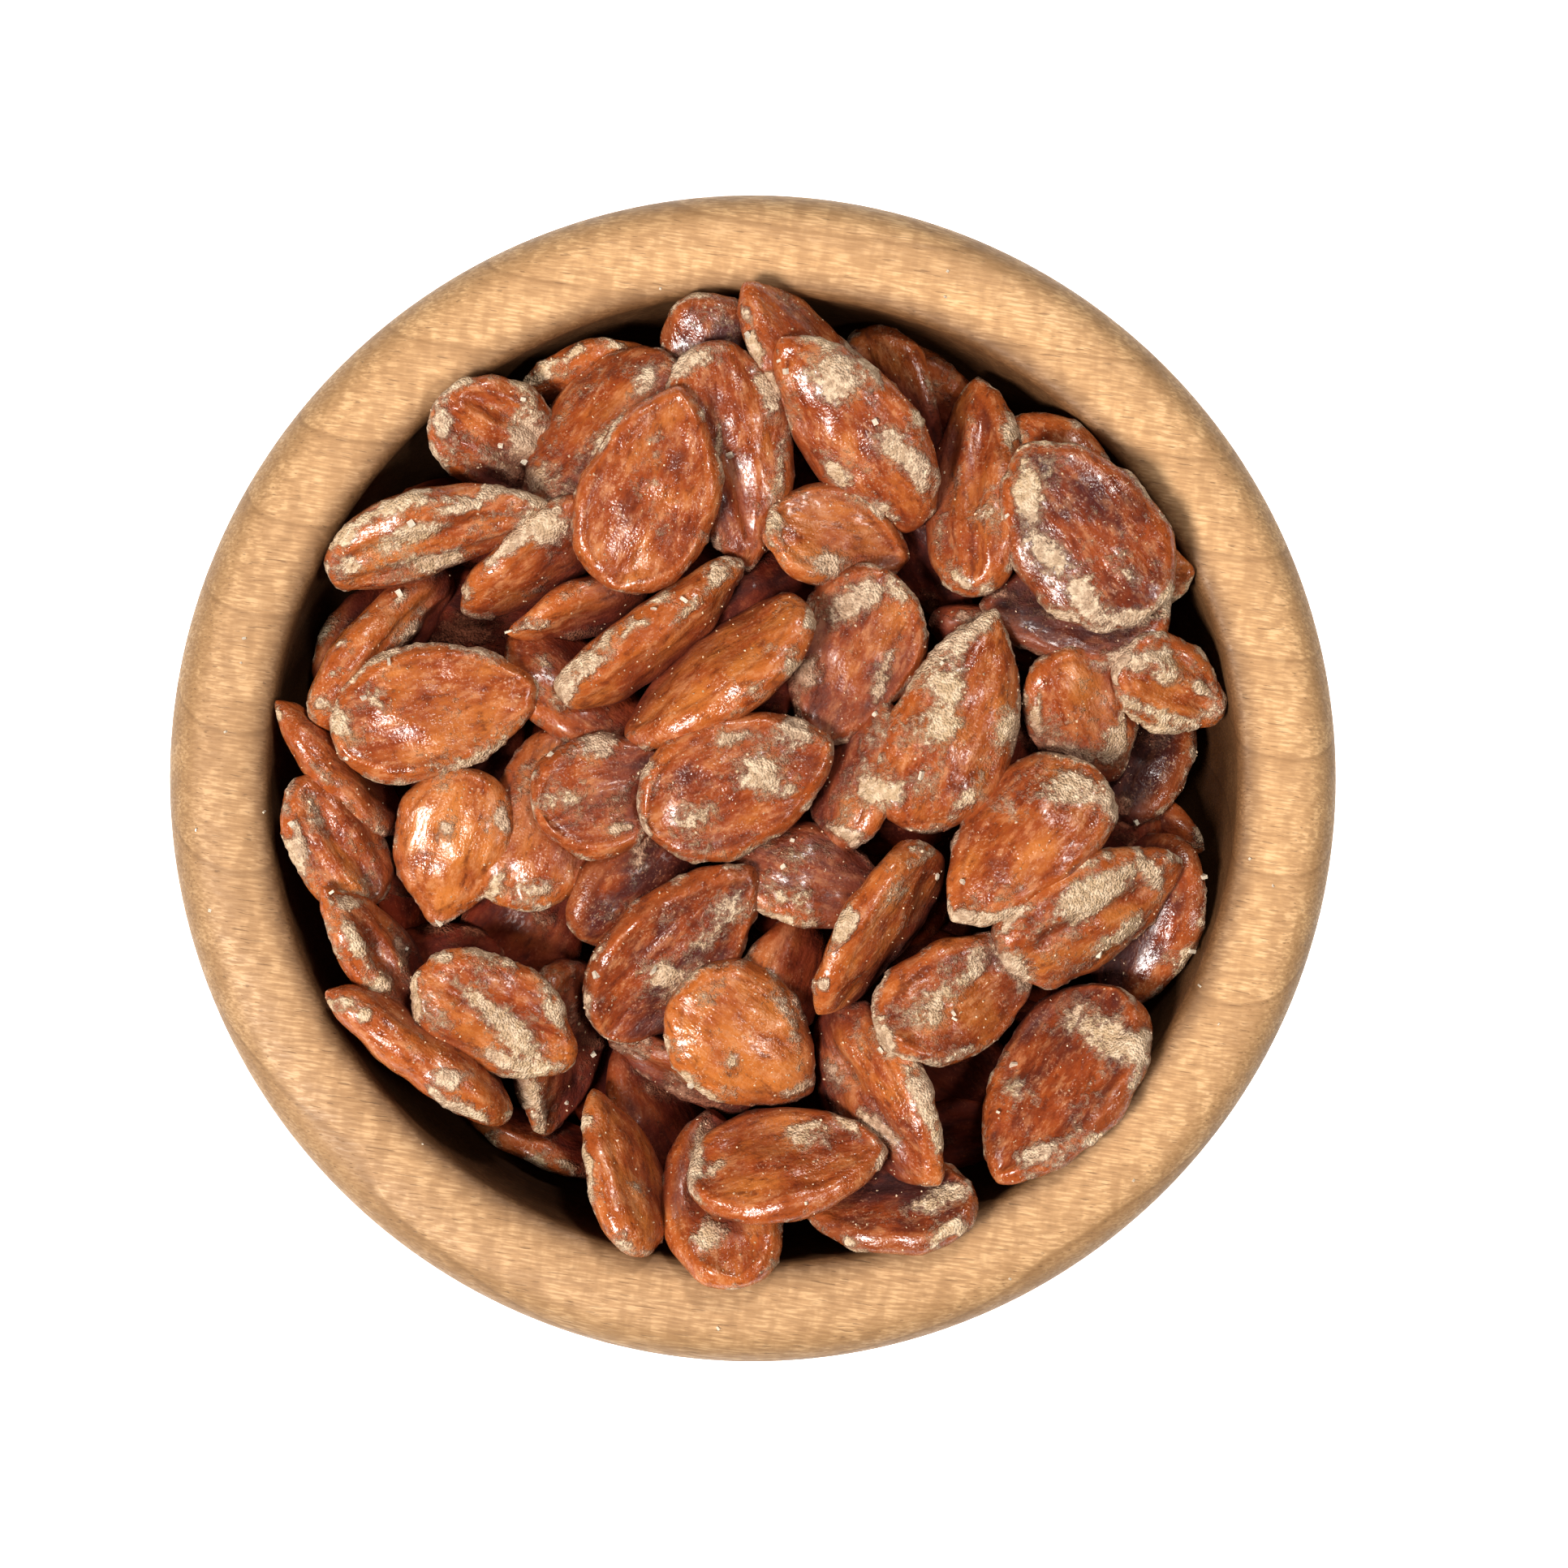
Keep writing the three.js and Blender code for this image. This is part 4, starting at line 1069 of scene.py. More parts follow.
@dataclass
class TurnedBowl:
    """The bowl: a foot, a round belly, a broad rim and a deep cavity. Sizes in millimetres."""

    rim_radius: float
    height: float
    mouth_radius: float = 47.7
    cavity_floor: float = 10
    cavity_fullness: float = 1.9
    cavity_steps: int = 44
    mouth_round: float = 1.5
    mouth_arc: tuple[float, float, int] = (105, 180, 10)  # its first and last degree, and its points
    edge_round: float = 4.5
    edge_arc: tuple[float, float, int] = (0, 78, 14)
    rim_edge_height: float = 43.7
    crown_steps: int = 12
    crown_gap: float = 0.02
    belly_steps: int = 34
    foot_radius: float = 29
    foot_height: float = 4.5
    foot_bevel: float = 1
    foot_arc: tuple[float, float, int] = (270, 360, 6)
    under_rings: tuple[float, ...] = (0.3, 0.6, 0.9)
    sides: int = 240
    tool_mark: float = 0.012
    tool_pitch: float = 2.4
    tool_lowest: float = 1

    @classmethod
    def from_frame(cls) -> "TurnedBowl":
        """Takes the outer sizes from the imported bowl."""
        low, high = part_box("bowl")
        return cls(rim_radius=(high[0] - low[0]) / 2 / MM, height=high[2] / MM)

    def wood_height(self, radius: np.ndarray, clearance: float) -> np.ndarray:
        """Height of the wood's upper face, raised by what is to stay clear of it.

        Args:
            radius: distances from the axis.
            clearance: the gap to keep.

        Returns:
            The height at each distance.
        """
        mouth_height = self.rim_edge_height - self.mouth_round
        bend = self.mouth_round + clearance
        from_rim = self.mouth_radius + self.mouth_round - radius
        reach = np.clip(radius / (self.mouth_radius - clearance), 0, 1)
        depth = mouth_height - self.cavity_floor - clearance
        cavity = mouth_height - depth * (1 - reach**self.cavity_fullness) ** (1 / self.cavity_fullness)
        rounded = mouth_height + np.sqrt(np.clip(bend**2 - from_rim**2, 0, None))
        height = np.where(from_rim <= bend, rounded, cavity)
        return np.where(from_rim <= 0, self.height + clearance, height)

    def arc(self, centre: Place, radius: float, span: tuple[float, float, int]) -> list[Place]:
        """Points of an arc around a centre, whose span is its first and last degree and its points."""
        angles = np.radians(np.linspace(*span))
        return [(centre[0] + radius * math.cos(a), centre[1] + radius * math.sin(a)) for a in angles]

    def profile(self) -> list[Place]:
        """The bowl's outline from under the foot, over the rim and down into the cavity.

        Returns:
            Points as radius and height, without those on the axis.
        """
        under = [(self.foot_radius * share, 0.0) for share in self.under_rings]
        foot = self.arc((self.foot_radius - self.foot_bevel, self.foot_bevel), self.foot_bevel, self.foot_arc)
        widest = self.rim_edge_height - self.edge_round
        foot_angle = math.acos(self.foot_radius / self.rim_radius)
        depth = (widest - self.foot_height) / math.sin(foot_angle)
        turns = np.linspace(foot_angle, 0, self.belly_steps)
        belly = [(self.rim_radius * math.cos(a), widest - depth * math.sin(a)) for a in turns]
        outer = self.arc((self.rim_radius - self.edge_round, widest), self.edge_round, self.edge_arc)[1:]
        mouth = (self.mouth_radius + self.mouth_round, self.rim_edge_height - self.mouth_round)
        inner = self.arc(mouth, self.mouth_round, self.mouth_arc)
        radii = self.mouth_radius * np.sin(np.linspace(math.pi / 2, 0, self.cavity_steps)[1:-1])
        cavity = list(zip(radii.tolist(), self.wood_height(radii, 0).tolist()))
        return under + foot + belly + outer + self.crown(outer[-1], inner[0]) + inner + cavity

    def crown(self, outer: Place, inner: Place) -> list[Place]:
        """The gentle rise of the rim between its two rounded edges.

        Args:
            outer: where the outer round ends.
            inner: where the inner round starts.

        Returns:
            The points between them.
        """
        rise = self.height - self.crown_gap - max(outer[1], inner[1])
        points = []
        for share in np.linspace(0, 1, self.crown_steps)[1:-1]:
            radius = outer[0] + (inner[0] - outer[0]) * share
            chord = outer[1] + (inner[1] - outer[1]) * share
            points.append((radius, chord + rise * 4 * share * (1 - share)))
        return points

    def build(self, material: bpy.types.Material) -> bpy.types.Object:
        """Turns the profile, with the faint marks of the turning tool.

        Args:
            material: the wood.

        Returns:
            The bowl. Its attribute inside is 1 from the rim's crown down into the cavity.
        """
        profile = np.array(self.profile())
        steps = np.arange(len(profile))
        marks = self.tool_mark * np.sin(steps * self.tool_pitch) * (profile[:, 1] > self.tool_lowest)
        past_crown = (steps > np.argmax(profile[:, 1])).astype(float)
        profile[:, 0] -= np.abs(marks)
        ends = np.array([[0, 0, 0], [0, 0, self.cavity_floor]])
        parts = MeshParts()
        parts.add(
            np.concatenate([turned(profile, self.sides).reshape(-1, 3), ends]),
            ring_faces(len(profile), self.sides),
            inside=np.append(np.repeat(past_crown, self.sides), [0.0, 1.0]),
        )
        return parts.build("turned_bowl", material)


# ---- the heap ----


@dataclass(frozen=True)
class SeedShape:
    """The shape that all the seeds share."""

    thickness: float = 0.27
    tip_sharpness: float = 0.74
    end_sharpness: float = 0.5
    bluntness: float = 0.8

    def breadth(self, along: np.ndarray) -> np.ndarray:
        """Breadth along a seed, from -1 at the round end to 1 at the tip, as a share of its most.

        Args:
            along: places along the seed.

        Returns:
            The breadth at each place.
        """
        widest = (self.end_sharpness - self.tip_sharpness) / (self.end_sharpness + self.tip_sharpness)
        towards_tip = np.clip((1 - along) / (1 - widest), 0, None) ** self.tip_sharpness
        towards_end = np.clip((1 + along) / (1 + widest), 0, None) ** self.end_sharpness
        return towards_tip * towards_end

    def stations(self, rings: int, sides: int) -> tuple[np.ndarray, np.ndarray]:
        """Places along a seed and angles around it.

        Args:
            rings: how many rings.
            sides: how many points a ring has.

        Returns:
            Two grids, of places and of angles.
        """
        along = -np.cos(np.pi * np.arange(1, rings + 1) / (rings + 1))
        around = 2 * np.pi * np.arange(sides) / sides
        return np.meshgrid(along, around, indexing="ij")

    def skin(self, length: float, width: float, along: np.ndarray, around: np.ndarray) -> np.ndarray:
        """Points of a seed's smooth skin, as it lies along X.

        Args:
            length: the seed's length.
            width: its width.
            along: places along it.
            around: angles around it.

        Returns:
            The points, in the grids' shape.
        """
        breadth = self.breadth(along)
        y = width / 2 * breadth * np.cos(around)
        z = length / 2 * self.thickness * breadth**self.bluntness * np.sin(around)
        return np.stack([length / 2 * along, y, z], axis=-1)


@dataclass(frozen=True)
class Drying:
    """How the seeds' skin dried: distances from the outline, heights and waves, in millimetres."""

    margin_at: float = 0.8
    margin_half: float = 0.5
    margin_end: float = 0.5
    furrow_at: float = 1.9
    furrow_half: float = 0.65
    furrow_share: float = 1.2
    uneven_size: float = 4
    uneven_share: float = 0.9
    dish_from: float = 1.3
    dish_to: float = 3.3
    middle_from: float = 1.2
    middle_to: float = 2.6
    ridge_pitch: float = 3.3
    ridge_height: float = 0.38
    ridge_sway: float = 0.9
    ridge_sway_length: float = 4
    groove_aside: float = 0.7
    groove_sway: float = 0.5
    groove_sway_length: float = 3.5
    groove_half: float = 0.85
    groove_depth: float = 0.85
    groove_from: float = 0.85  # shares of the half length
    groove_to: float = 0.45
    twist: float = 0.42  # radians from the middle to the tip
    bow: float = 0.02  # shares of the length
    curl: float = 0.03
    level: float = 0.35
    sharpness: float = 0.71
    sharpness_spread: float = 0.06
    dent_size: float = 5.0
    dent_depth: float = 0.5
    wrinkle_size: float = 1.4
    wrinkle_squeeze: Triple = (0.35, 1, 1)
    wrinkle_least: float = 0.1
    wrinkle_more: float = 0.12
    grit_size: float = 0.7
    crust_rise: float = 0.1
    crust_grit: float = 0.2
    crust_from: float = 0.38
    crust_whole: float = 0.6
    end_fade: tuple[float, float] = (0.05, 0.4)
    margin_mark: tuple[float, float] = (2.1, 0.9)
    deep: tuple[float, float] = (-1.2, 3.2)  # how far under the seeds around it painted shade starts and is whole
    wrinkled: tuple[float, float] = (1, 2)
    wander: float = 1.7  # what each seed's number adds to its waves, and to where its noise is read
    bow_wander: float = 3.1
    curl_wander: float = 5.3
    tip_wander: float = 2.9
    uneven_step: float = 5.7
    dent_step: float = 11.3
    crust_step: Triple = (13.7, 7.1, 0)
    own_step: Triple = (31.0, 17.0, 23.0)


SHAPE = SeedShape()
DRYING = Drying()
RELIEF = {  # by form: how sharp the raised margin is, in millimetres, and how far the middle is sunk
    SeedForm.PLUMP: (0.04, 0.06),
    SeedForm.DISHED: (0.17, 0.38),
    SeedForm.RIDGED: (0.08, 0.15),
    SeedForm.GROOVED: (0.08, 0.08),
    SeedForm.SADDLE: (0.17, 0.30),
}


def lie(heading: float, lift: float, roll: float) -> np.ndarray:
    """The turn of a seed that is rolled, lifted and headed, in that order.

    Args:
        heading: the way the tip points, in degrees from +X.
        lift: how far the tip lifts.
        roll: the roll that lifts its left side.

    Returns:
        A 3 by 3 matrix.
    """
    turn = Matrix.Rotation(math.radians(heading), 3, "Z")
    turn = turn @ Matrix.Rotation(math.radians(-lift), 3, "Y") @ Matrix.Rotation(math.radians(roll), 3, "X")
    return np.array(turn)


@dataclass(frozen=True)
class CrustMap:
    """Where crust lies: the listed patches, and what each seed adds. In millimetres."""

    thickness: float = 0.85
    falling: float = 0.55
    lowest: float = RIM_PLANE - 12
    whole_from: float = RIM_PLANE - 8
    least: float = 0.03
    by_seed: float = 0.27
    by_patches: float = 0.46
    patch_size: float = 3.6
    patch_octaves: int = 3
    patch_squeeze: Triple = (0.7, 1, 1)
    edge: tuple[float, float] = (0.75, 0.1)
    edge_least: float = 0.14
    edge_by_seed: float = 0.25
    edge_by_seam: float = 0.75
    seam_size: float = 2.2
    seam_aside: float = 90

    def over(self, points: np.ndarray) -> np.ndarray:
        """The crust at some points, as the camera's height moves them over the patches.

        Args:
            points: where it is wanted, in the bowl's own place.

        Returns:
            The crust's thickness, 0 to about 1.
        """
        seen = points[..., :2] * (EYE_HEIGHT / (EYE_HEIGHT + RIM_PLANE - points[..., 2:]))
        cover = np.zeros(points.shape[:-1])
        for x, y, half_length, half_width, heading, thickness in CRUSTS:
            cos, sin = math.cos(math.radians(heading)), math.sin(math.radians(heading))
            away = seen - (x, y)
            along = (away[..., 0] * cos + away[..., 1] * sin) / half_length
            across = (away[..., 1] * cos - away[..., 0] * sin) / half_width
            patch = self.thickness * thickness * np.exp(-self.falling * (along**2 + across**2))
            cover = np.maximum(cover, patch)
        return cover * smooth_step(points[..., 2], self.lowest, self.whole_from)


CRUST_MAP = CrustMap()


@dataclass
class Seed:
    """One seed where it has come to rest. Its number makes its unevenness its own."""

    place: np.ndarray
    turn: np.ndarray
    length: float
    width: float
    form: SeedForm
    purple: float
    crusted: float
    number: int

    @property
    def shape(self) -> SeedShape:
        """Its own outline, whose tip differs a little from that of the others."""
        spread = DRYING.sharpness_spread * math.sin(self.number * DRYING.tip_wander)
        return SeedShape(tip_sharpness=DRYING.sharpness + spread)

    def own_lumps(self, points: np.ndarray, step: float, size: float, octaves: int) -> np.ndarray:
        """Noise on the seed that no other seed has.

        Args:
            points: the seed's points, in the grids' shape.
            step: how far the noise is moved from one seed to the next.
            size: the lumps' size.
            octaves: how many octaves are summed.

        Returns:
            Values around 0, in the grids' shape.
        """
        strange = (points + self.number * step).reshape(-1, 3)
        return lumps(strange, size, octaves).reshape(points.shape[:-1])

    def edge_distance(self, along: np.ndarray, around: np.ndarray) -> np.ndarray:
        """How far each place lies inside the seed's outline, as one looks at its flat side.

        Args:
            along: places along it.
            around: angles around it.

        Returns:
            The distances in millimetres.
        """
        half = self.width / 2 * self.shape.breadth(along)
        slope = np.gradient(half, self.length / 2 * along[:, 0], axis=0)
        return half * (1 - np.abs(np.cos(around))) / np.sqrt(1 + slope**2)

    def relief(self, along: np.ndarray, inset: np.ndarray, local: np.ndarray) -> np.ndarray:
        """Works the raised margin and the seed's dried form into its skin.

        Args:
            along: places along it.
            inset: how far each place is from the outline.
            local: the smooth skin's points, as the seed lies along X.

        Returns:
            The worked points.
        """
        dry = DRYING
        points = local.copy()
        x, y, side = local[..., 0], local[..., 1], np.sign(local[..., 2])
        wander = self.number * dry.wander
        sharp, dish = RELIEF[self.form]
        uneven = 1 + dry.uneven_share * self.own_lumps(local, dry.uneven_step, dry.uneven_size, 1)
        furrow = dry.furrow_share * hump(inset, dry.furrow_at, dry.furrow_half)
        margin = hump(inset, dry.margin_at, dry.margin_half) - furrow
        points[..., 2] *= 1 - dish * smooth_step(inset, dry.dish_from, dry.dish_to)
        points[..., 2] += side * sharp * uneven * margin * smooth_step(inset, 0, dry.margin_end)
        if self.form is SeedForm.RIDGED:
            sway = dry.ridge_sway * np.sin(x / dry.ridge_sway_length + wander)
            waves = np.cos(2 * math.pi * y / dry.ridge_pitch + wander + sway)
            middle = smooth_step(inset, dry.middle_from, dry.middle_to)
            points[..., 2] += side * dry.ridge_height * middle * waves
        elif self.form is SeedForm.GROOVED:
            sway = dry.groove_sway * np.sin(x / dry.groove_sway_length + wander)
            bend = dry.groove_aside * math.sin(wander) + sway
            ends = smooth_step(np.abs(along), dry.groove_from, dry.groove_to)
            points[..., 2] -= side * dry.groove_depth * (hump(y, bend, dry.groove_half) * ends)
        elif self.form is SeedForm.SADDLE:
            cos, sin = np.cos(dry.twist * along), np.sin(dry.twist * along)
            z = points[..., 2].copy()
            points[..., 1] = y * cos - z * sin
            points[..., 2] = y * sin + z * cos
        points[..., 2] += dry.bow * math.sin(wander * dry.bow_wander) * self.length * (along**2 - dry.level)
        points[..., 1] += dry.curl * math.sin(wander * dry.curl_wander) * self.length * (along**2 - dry.level)
        return points

    def crust(self, points: np.ndarray, inset: np.ndarray) -> np.ndarray:
        """How much crust lies at each point.

        Args:
            points: the seed's points as it lies along X.
            inset: how far each is from the outline.

        Returns:
            A soft mask, over about 0.5 where the crust is whole.
        """
        rule = CRUST_MAP
        strange = (points + self.number * np.array(DRYING.crust_step)).reshape(-1, 3)
        squeezed = strange * np.array(rule.patch_squeeze)
        patches = lumps(squeezed, rule.patch_size, rule.patch_octaves).reshape(inset.shape)
        seam = lumps(strange + rule.seam_aside, rule.seam_size).reshape(inset.shape)
        at_edge = rule.edge_least + rule.edge_by_seed * self.crusted + rule.edge_by_seam * seam
        edge = smooth_step(inset, *rule.edge) * at_edge
        over = rule.over(points @ self.turn.T + self.place)
        return np.clip(rule.least + rule.by_seed * self.crusted + rule.by_patches * patches + edge + over, 0, 1)

    def push(self, points: np.ndarray, inset: np.ndarray, crust: np.ndarray) -> np.ndarray:
        """How far dents, wrinkles and crust push the skin out.

        Args:
            points: the seed's points as it lies along X.
            inset: how far each is from the outline.
            crust: how much crust lies there.

        Returns:
            The distances.
        """
        dry = DRYING
        strange = (points + self.number * dry.dent_step).reshape(-1, 3)
        dents = lumps(strange, dry.dent_size).reshape(inset.shape)
        wrinkles = lumps(strange * np.array(dry.wrinkle_squeeze), dry.wrinkle_size).reshape(inset.shape)
        grit = lumps(strange, dry.grit_size).reshape(inset.shape)
        wrinkled = dry.wrinkle_least + dry.wrinkle_more * smooth_step(inset, *dry.wrinkled)
        whole = smooth_step(crust, dry.crust_from, dry.crust_whole)
        return dry.dent_depth * dents + wrinkled * wrinkles + whole * (dry.crust_rise + dry.crust_grit * grit)

    def mesh(self, parts: MeshParts, rings: int, sides: int, crowd: np.ndarray, bed: "Bed") -> None:
        """Adds the seed to a piece.

        Args:
            parts: the piece's parts.
            rings: how many rings it has.
            sides: how many points a ring has.
            crowd: how high the heap stands around each of the bed's cells.
            bed: the bed that it lies on.
        """
        along, around = SHAPE.stations(rings, sides)
        inset = self.edge_distance(along, around)
        shape = self.shape
        points = self.relief(along, inset, shape.skin(self.length, self.width, along, around))
        crust = self.crust(points, inset)
        outward = np.cross(np.roll(points, -1, axis=1) - np.roll(points, 1, axis=1), np.gradient(points, axis=0))
        outward /= np.linalg.norm(outward, axis=2, keepdims=True) + 1e-9
        fade = smooth_step(shape.breadth(along), *DRYING.end_fade)
        points = points + outward * (self.push(points, inset, crust) * fade)[..., None]
        ends = shape.skin(self.length, self.width, np.array([-1.0, 1.0]), np.zeros(2))
        ends[:, 1:] += points[[0, -1], :, 1:].mean(axis=1)
        own = np.concatenate([points.reshape(-1, 3), ends])
        every = own @ self.turn.T + self.place
        parts.own.append(own + self.number * np.array(DRYING.own_step))
        parts.add(
            every,
            ring_faces(rings, sides),
            crust=np.append(crust.ravel(), [crust[0].mean(), crust[-1].mean()]),
            tone=np.full(len(every), self.purple),
            margin=np.append(smooth_step(inset, *DRYING.margin_mark).ravel(), [1.0, 1.0]),
            # painted shade: how far a point lies under the heap around it
            depth=smooth_step(crowd[bed.cells(every[:, :2])] - every[:, 2], *DRYING.deep),
        )


@dataclass
class Bed:
    """What lies in the bowl so far, as a height over each cell of a grid, in millimetres."""

    bowl: TurnedBowl
    packed_crown: float = 42.5
    packed_fall: float = 15
    seed_clearance: float = 0.4
    bedded_share: float = 0.2
    bedded_depth: float = 3
    cell: float = 0.5
    half: float = 60
    heights: np.ndarray = field(init=False)

    def __post_init__(self) -> None:
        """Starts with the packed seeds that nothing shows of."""
        centres = (np.arange(round(2 * self.half / self.cell)) + 0.5) * self.cell - self.half
        x, y = np.meshgrid(centres, centres)
        self.heights = self.packed(np.hypot(x, y))

    def packed(self, radius: np.ndarray) -> np.ndarray:
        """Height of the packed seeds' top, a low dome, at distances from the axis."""
        return self.packed_crown - self.packed_fall * (radius / self.bowl.mouth_radius) ** 2

    def cells(self, points: np.ndarray) -> tuple[np.ndarray, np.ndarray]:
        """The cells under some points, as rows and columns."""
        numbers = np.floor((points + self.half) / self.cell).astype(int)
        return numbers[:, 1], numbers[:, 0]

    def on_wood(self, points: np.ndarray, x: float, y: float) -> float:
        """The lowest that the middle of a seed, given as points around it, can lie on the wood."""
        radius = np.hypot(points[:, 0] + x, points[:, 1] + y)
        return float(np.max(self.bowl.wood_height(radius, self.seed_clearance) - points[:, 2]))

    def rest(self, points: np.ndarray, x: float, y: float) -> float:
        """The lowest that a seed's middle can lie over a place.

        Args:
            points: the seed's points around its middle.
            x: its middle.
            y: its middle.

        Returns:
            The middle's height.
        """
        under = np.sort(self.heights[self.cells(points[:, :2] + (x, y))] - points[:, 2])
        bedded = under[-1 - int(self.bedded_share * len(points))]
        return max(0.0, self.on_wood(points, x, y), float(bedded), float(under[-1] - self.bedded_depth))

    def crowd(self, reach: int = 9) -> np.ndarray:
        """How high the heap stands around each cell.

        Args:
            reach: how many cells to each side count.

        Returns:
            The mean height around each cell, in the grid's shape.
        """
        span = 2 * reach + 1
        wide = np.pad(self.heights, reach, mode="edge")
        for axis in (0, 1):
            sums = np.cumsum(np.insert(wide, 0, 0, axis=axis), axis=axis)
            size = sums.shape[axis]
            wide = (sums.take(range(span, size), axis) - sums.take(range(size - span), axis)) / span
        return wide

    def cover(self, points: np.ndarray, place: np.ndarray) -> None:
        """Marks where a seed lies, given as points around its middle."""
        np.maximum.at(self.heights, self.cells(points[:, :2] + place[:2]), points[:, 2] + place[2])


@dataclass
class SeedHeap:
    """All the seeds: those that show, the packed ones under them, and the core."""

    bed: Bed
    tilts: tuple[float, ...] = (-14, -7, 0, 7, 14)
    nudges: tuple[float, ...] = (0, 0.7)
    tilt_cost: float = 0.03
    nudge_cost: float = 0.7
    contact_grid: tuple[int, int] = (15, 16)
    cover_grid: tuple[int, int] = (56, 64)
    packed_count: int = 110
    packed_inset: float = 7
    packed_grid: tuple[int, int] = (20, 20)
    packed_lengths: tuple[float, float] = (15, 19)
    packed_widths: tuple[float, float] = (9.5, 12)
    packed_lifts: tuple[float, float] = (-14, 14)
    packed_rolls: tuple[float, float] = (-30, 30)
    packed_sinking: tuple[float, float] = (1, 3)
    # painted shade: the packed seeds' purple tone is pushed high so that they read dark
    packed_shade_tones: tuple[float, float] = (0.9, 1.3)
    packed_numbers: int = 200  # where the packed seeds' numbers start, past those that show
    packed_draw: int = 7
    core_depth: float = 4.5
    core_gap: float = 0.5
    core_thinnest: float = 1
    core_inset: float = 3
    core_hole: float = 2
    core_rings: int = 22
    core_sides: int = 72
    core_lump: float = 6
    core_lumpiness: float = 0.9
    # painted shade: the core's purple tone is pushed past full so that it reads dark
    core_shade_tone: float = 1.4

    def grid(self, length: float, width: float, turn: np.ndarray, size: tuple[int, int]) -> np.ndarray:
        """Points of a plain seed around its middle, in a grid of so many rings and sides."""
        return SHAPE.skin(length, width, *SHAPE.stations(*size)).reshape(-1, 3) @ turn.T

    def settle(self, row: SeedRow, number: int) -> Seed:
        """Tips and slides a seed a little, and keeps the way in which it lies lowest.

        Args:
            row: the seed's row of the layout.
            number: its number, which its own unevenness follows.

        Returns:
            The seed at rest.
        """
        x, y, length, width, heading, lift, roll, form, purple, crusted = row
        best, least = None, math.inf
        for more_lift in self.tilts:
            for more_roll in self.tilts:
                turn = lie(heading, lift + more_lift, roll + more_roll)
                points = self.grid(length, width, turn, self.contact_grid)
                for nudge in self.nudges:
                    inward = 1 - nudge / max(nudge, math.hypot(x, y))
                    z = self.bed.rest(points, x * inward, y * inward)
                    cost = z + self.tilt_cost * (abs(more_lift) + abs(more_roll)) + self.nudge_cost * nudge
                    if cost < least - 1e-6:
                        best, least = (np.array([x * inward, y * inward, z]), turn), cost
        place, turn = best
        self.bed.cover(self.grid(length, width, turn, self.cover_grid), place)
        return Seed(place, turn, length, width, form, purple, crusted, number)

    def tiers(self, finishes: dict[Tier, bpy.types.Material]) -> list[bpy.types.Object]:
        """Makes the seeds that show.

        Args:
            finishes: each tier's finish.

        Returns:
            One piece for each tier.
        """
        settled = {tier: [] for tier in LAYOUT}
        rows = [(tier, row) for tier, tier_rows in LAYOUT.items() for row in tier_rows]
        for number, (tier, row) in enumerate(rows, start=1):
            settled[tier].append(self.settle(row, number))
        crowd = self.bed.crowd()
        pieces = []
        for tier, seeds in settled.items():
            parts = MeshParts()
            for seed in seeds:
                seed.mesh(parts, *FINENESS[tier], crowd, self.bed)
            pieces.append(parts.build(tier.value, finishes[tier]))
        return pieces

    def packed(self, material: bpy.types.Material) -> bpy.types.Object:
        """Makes the seeds that lie under those that show, spread evenly from the middle out.

        Args:
            material: their finish.

        Returns:
            The piece.
        """
        draw = np.random.default_rng(self.packed_draw)
        crowd = self.bed.crowd()
        golden = math.pi * (3 - math.sqrt(5))
        reach = self.bed.bowl.mouth_radius - self.packed_inset
        parts = MeshParts()
        for number in range(self.packed_count):
            radius = reach * math.sqrt((number + 0.5) / self.packed_count)
            x, y = radius * math.cos(number * golden), radius * math.sin(number * golden)
            length, width = draw.uniform(*self.packed_lengths), draw.uniform(*self.packed_widths)
            turn = lie(draw.uniform(0, 360), draw.uniform(*self.packed_lifts), draw.uniform(*self.packed_rolls))
            points = self.grid(length, width, turn, self.contact_grid)
            top = float(self.bed.packed(np.array(radius))) - draw.uniform(*self.packed_sinking)
            place = np.array([x, y, top - points[:, 2].max()])
            if place[2] < self.bed.on_wood(points, x, y):
                continue
            form = SeedForm(draw.choice(list(SeedForm)))
            tone = draw.uniform(*self.packed_shade_tones)
            seed = Seed(place, turn, length, width, form, tone, 0.0, self.packed_numbers + number)
            seed.mesh(parts, *self.packed_grid, crowd, self.bed)
        return parts.build("seeds_packed_under", material)

    def core(self, material: bpy.types.Material) -> bpy.types.Object:
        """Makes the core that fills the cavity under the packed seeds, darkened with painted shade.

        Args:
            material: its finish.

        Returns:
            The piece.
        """
        radii = np.linspace(self.core_hole, self.bed.bowl.mouth_radius - self.core_inset, self.core_rings)
        floor = self.bed.bowl.wood_height(radii, self.core_gap)
        top = self.bed.packed(radii) - self.core_depth
        inside = top > floor + self.core_thinnest
        lower = np.stack([radii[inside], floor[inside]], 1)
        upper = np.stack([radii[inside], top[inside]], 1)[::-1]
        rings = turned(np.concatenate([lower, upper]), self.core_sides)
        uneven = lumps(rings[len(lower):].reshape(-1, 3), self.core_lump).reshape(-1, self.core_sides)
        rings[len(lower):, :, 2] += uneven * self.core_lumpiness
        ends = [[0, 0, rings[0, :, 2].mean()], [0, 0, rings[-1, :, 2].mean()]]
        points = np.concatenate([rings.reshape(-1, 3), ends])
        plain = np.zeros(len(points))
        parts = MeshParts(own=[points])
        faces = ring_faces(len(rings), self.core_sides)
        # painted shade: the core is wholly darkened and deep purple
        parts.add(points, faces, crust=plain, tone=plain + self.core_shade_tone, margin=plain, depth=plain + 1)
        return parts.build("heap_core", material)


# ---- what is strewn over it ----


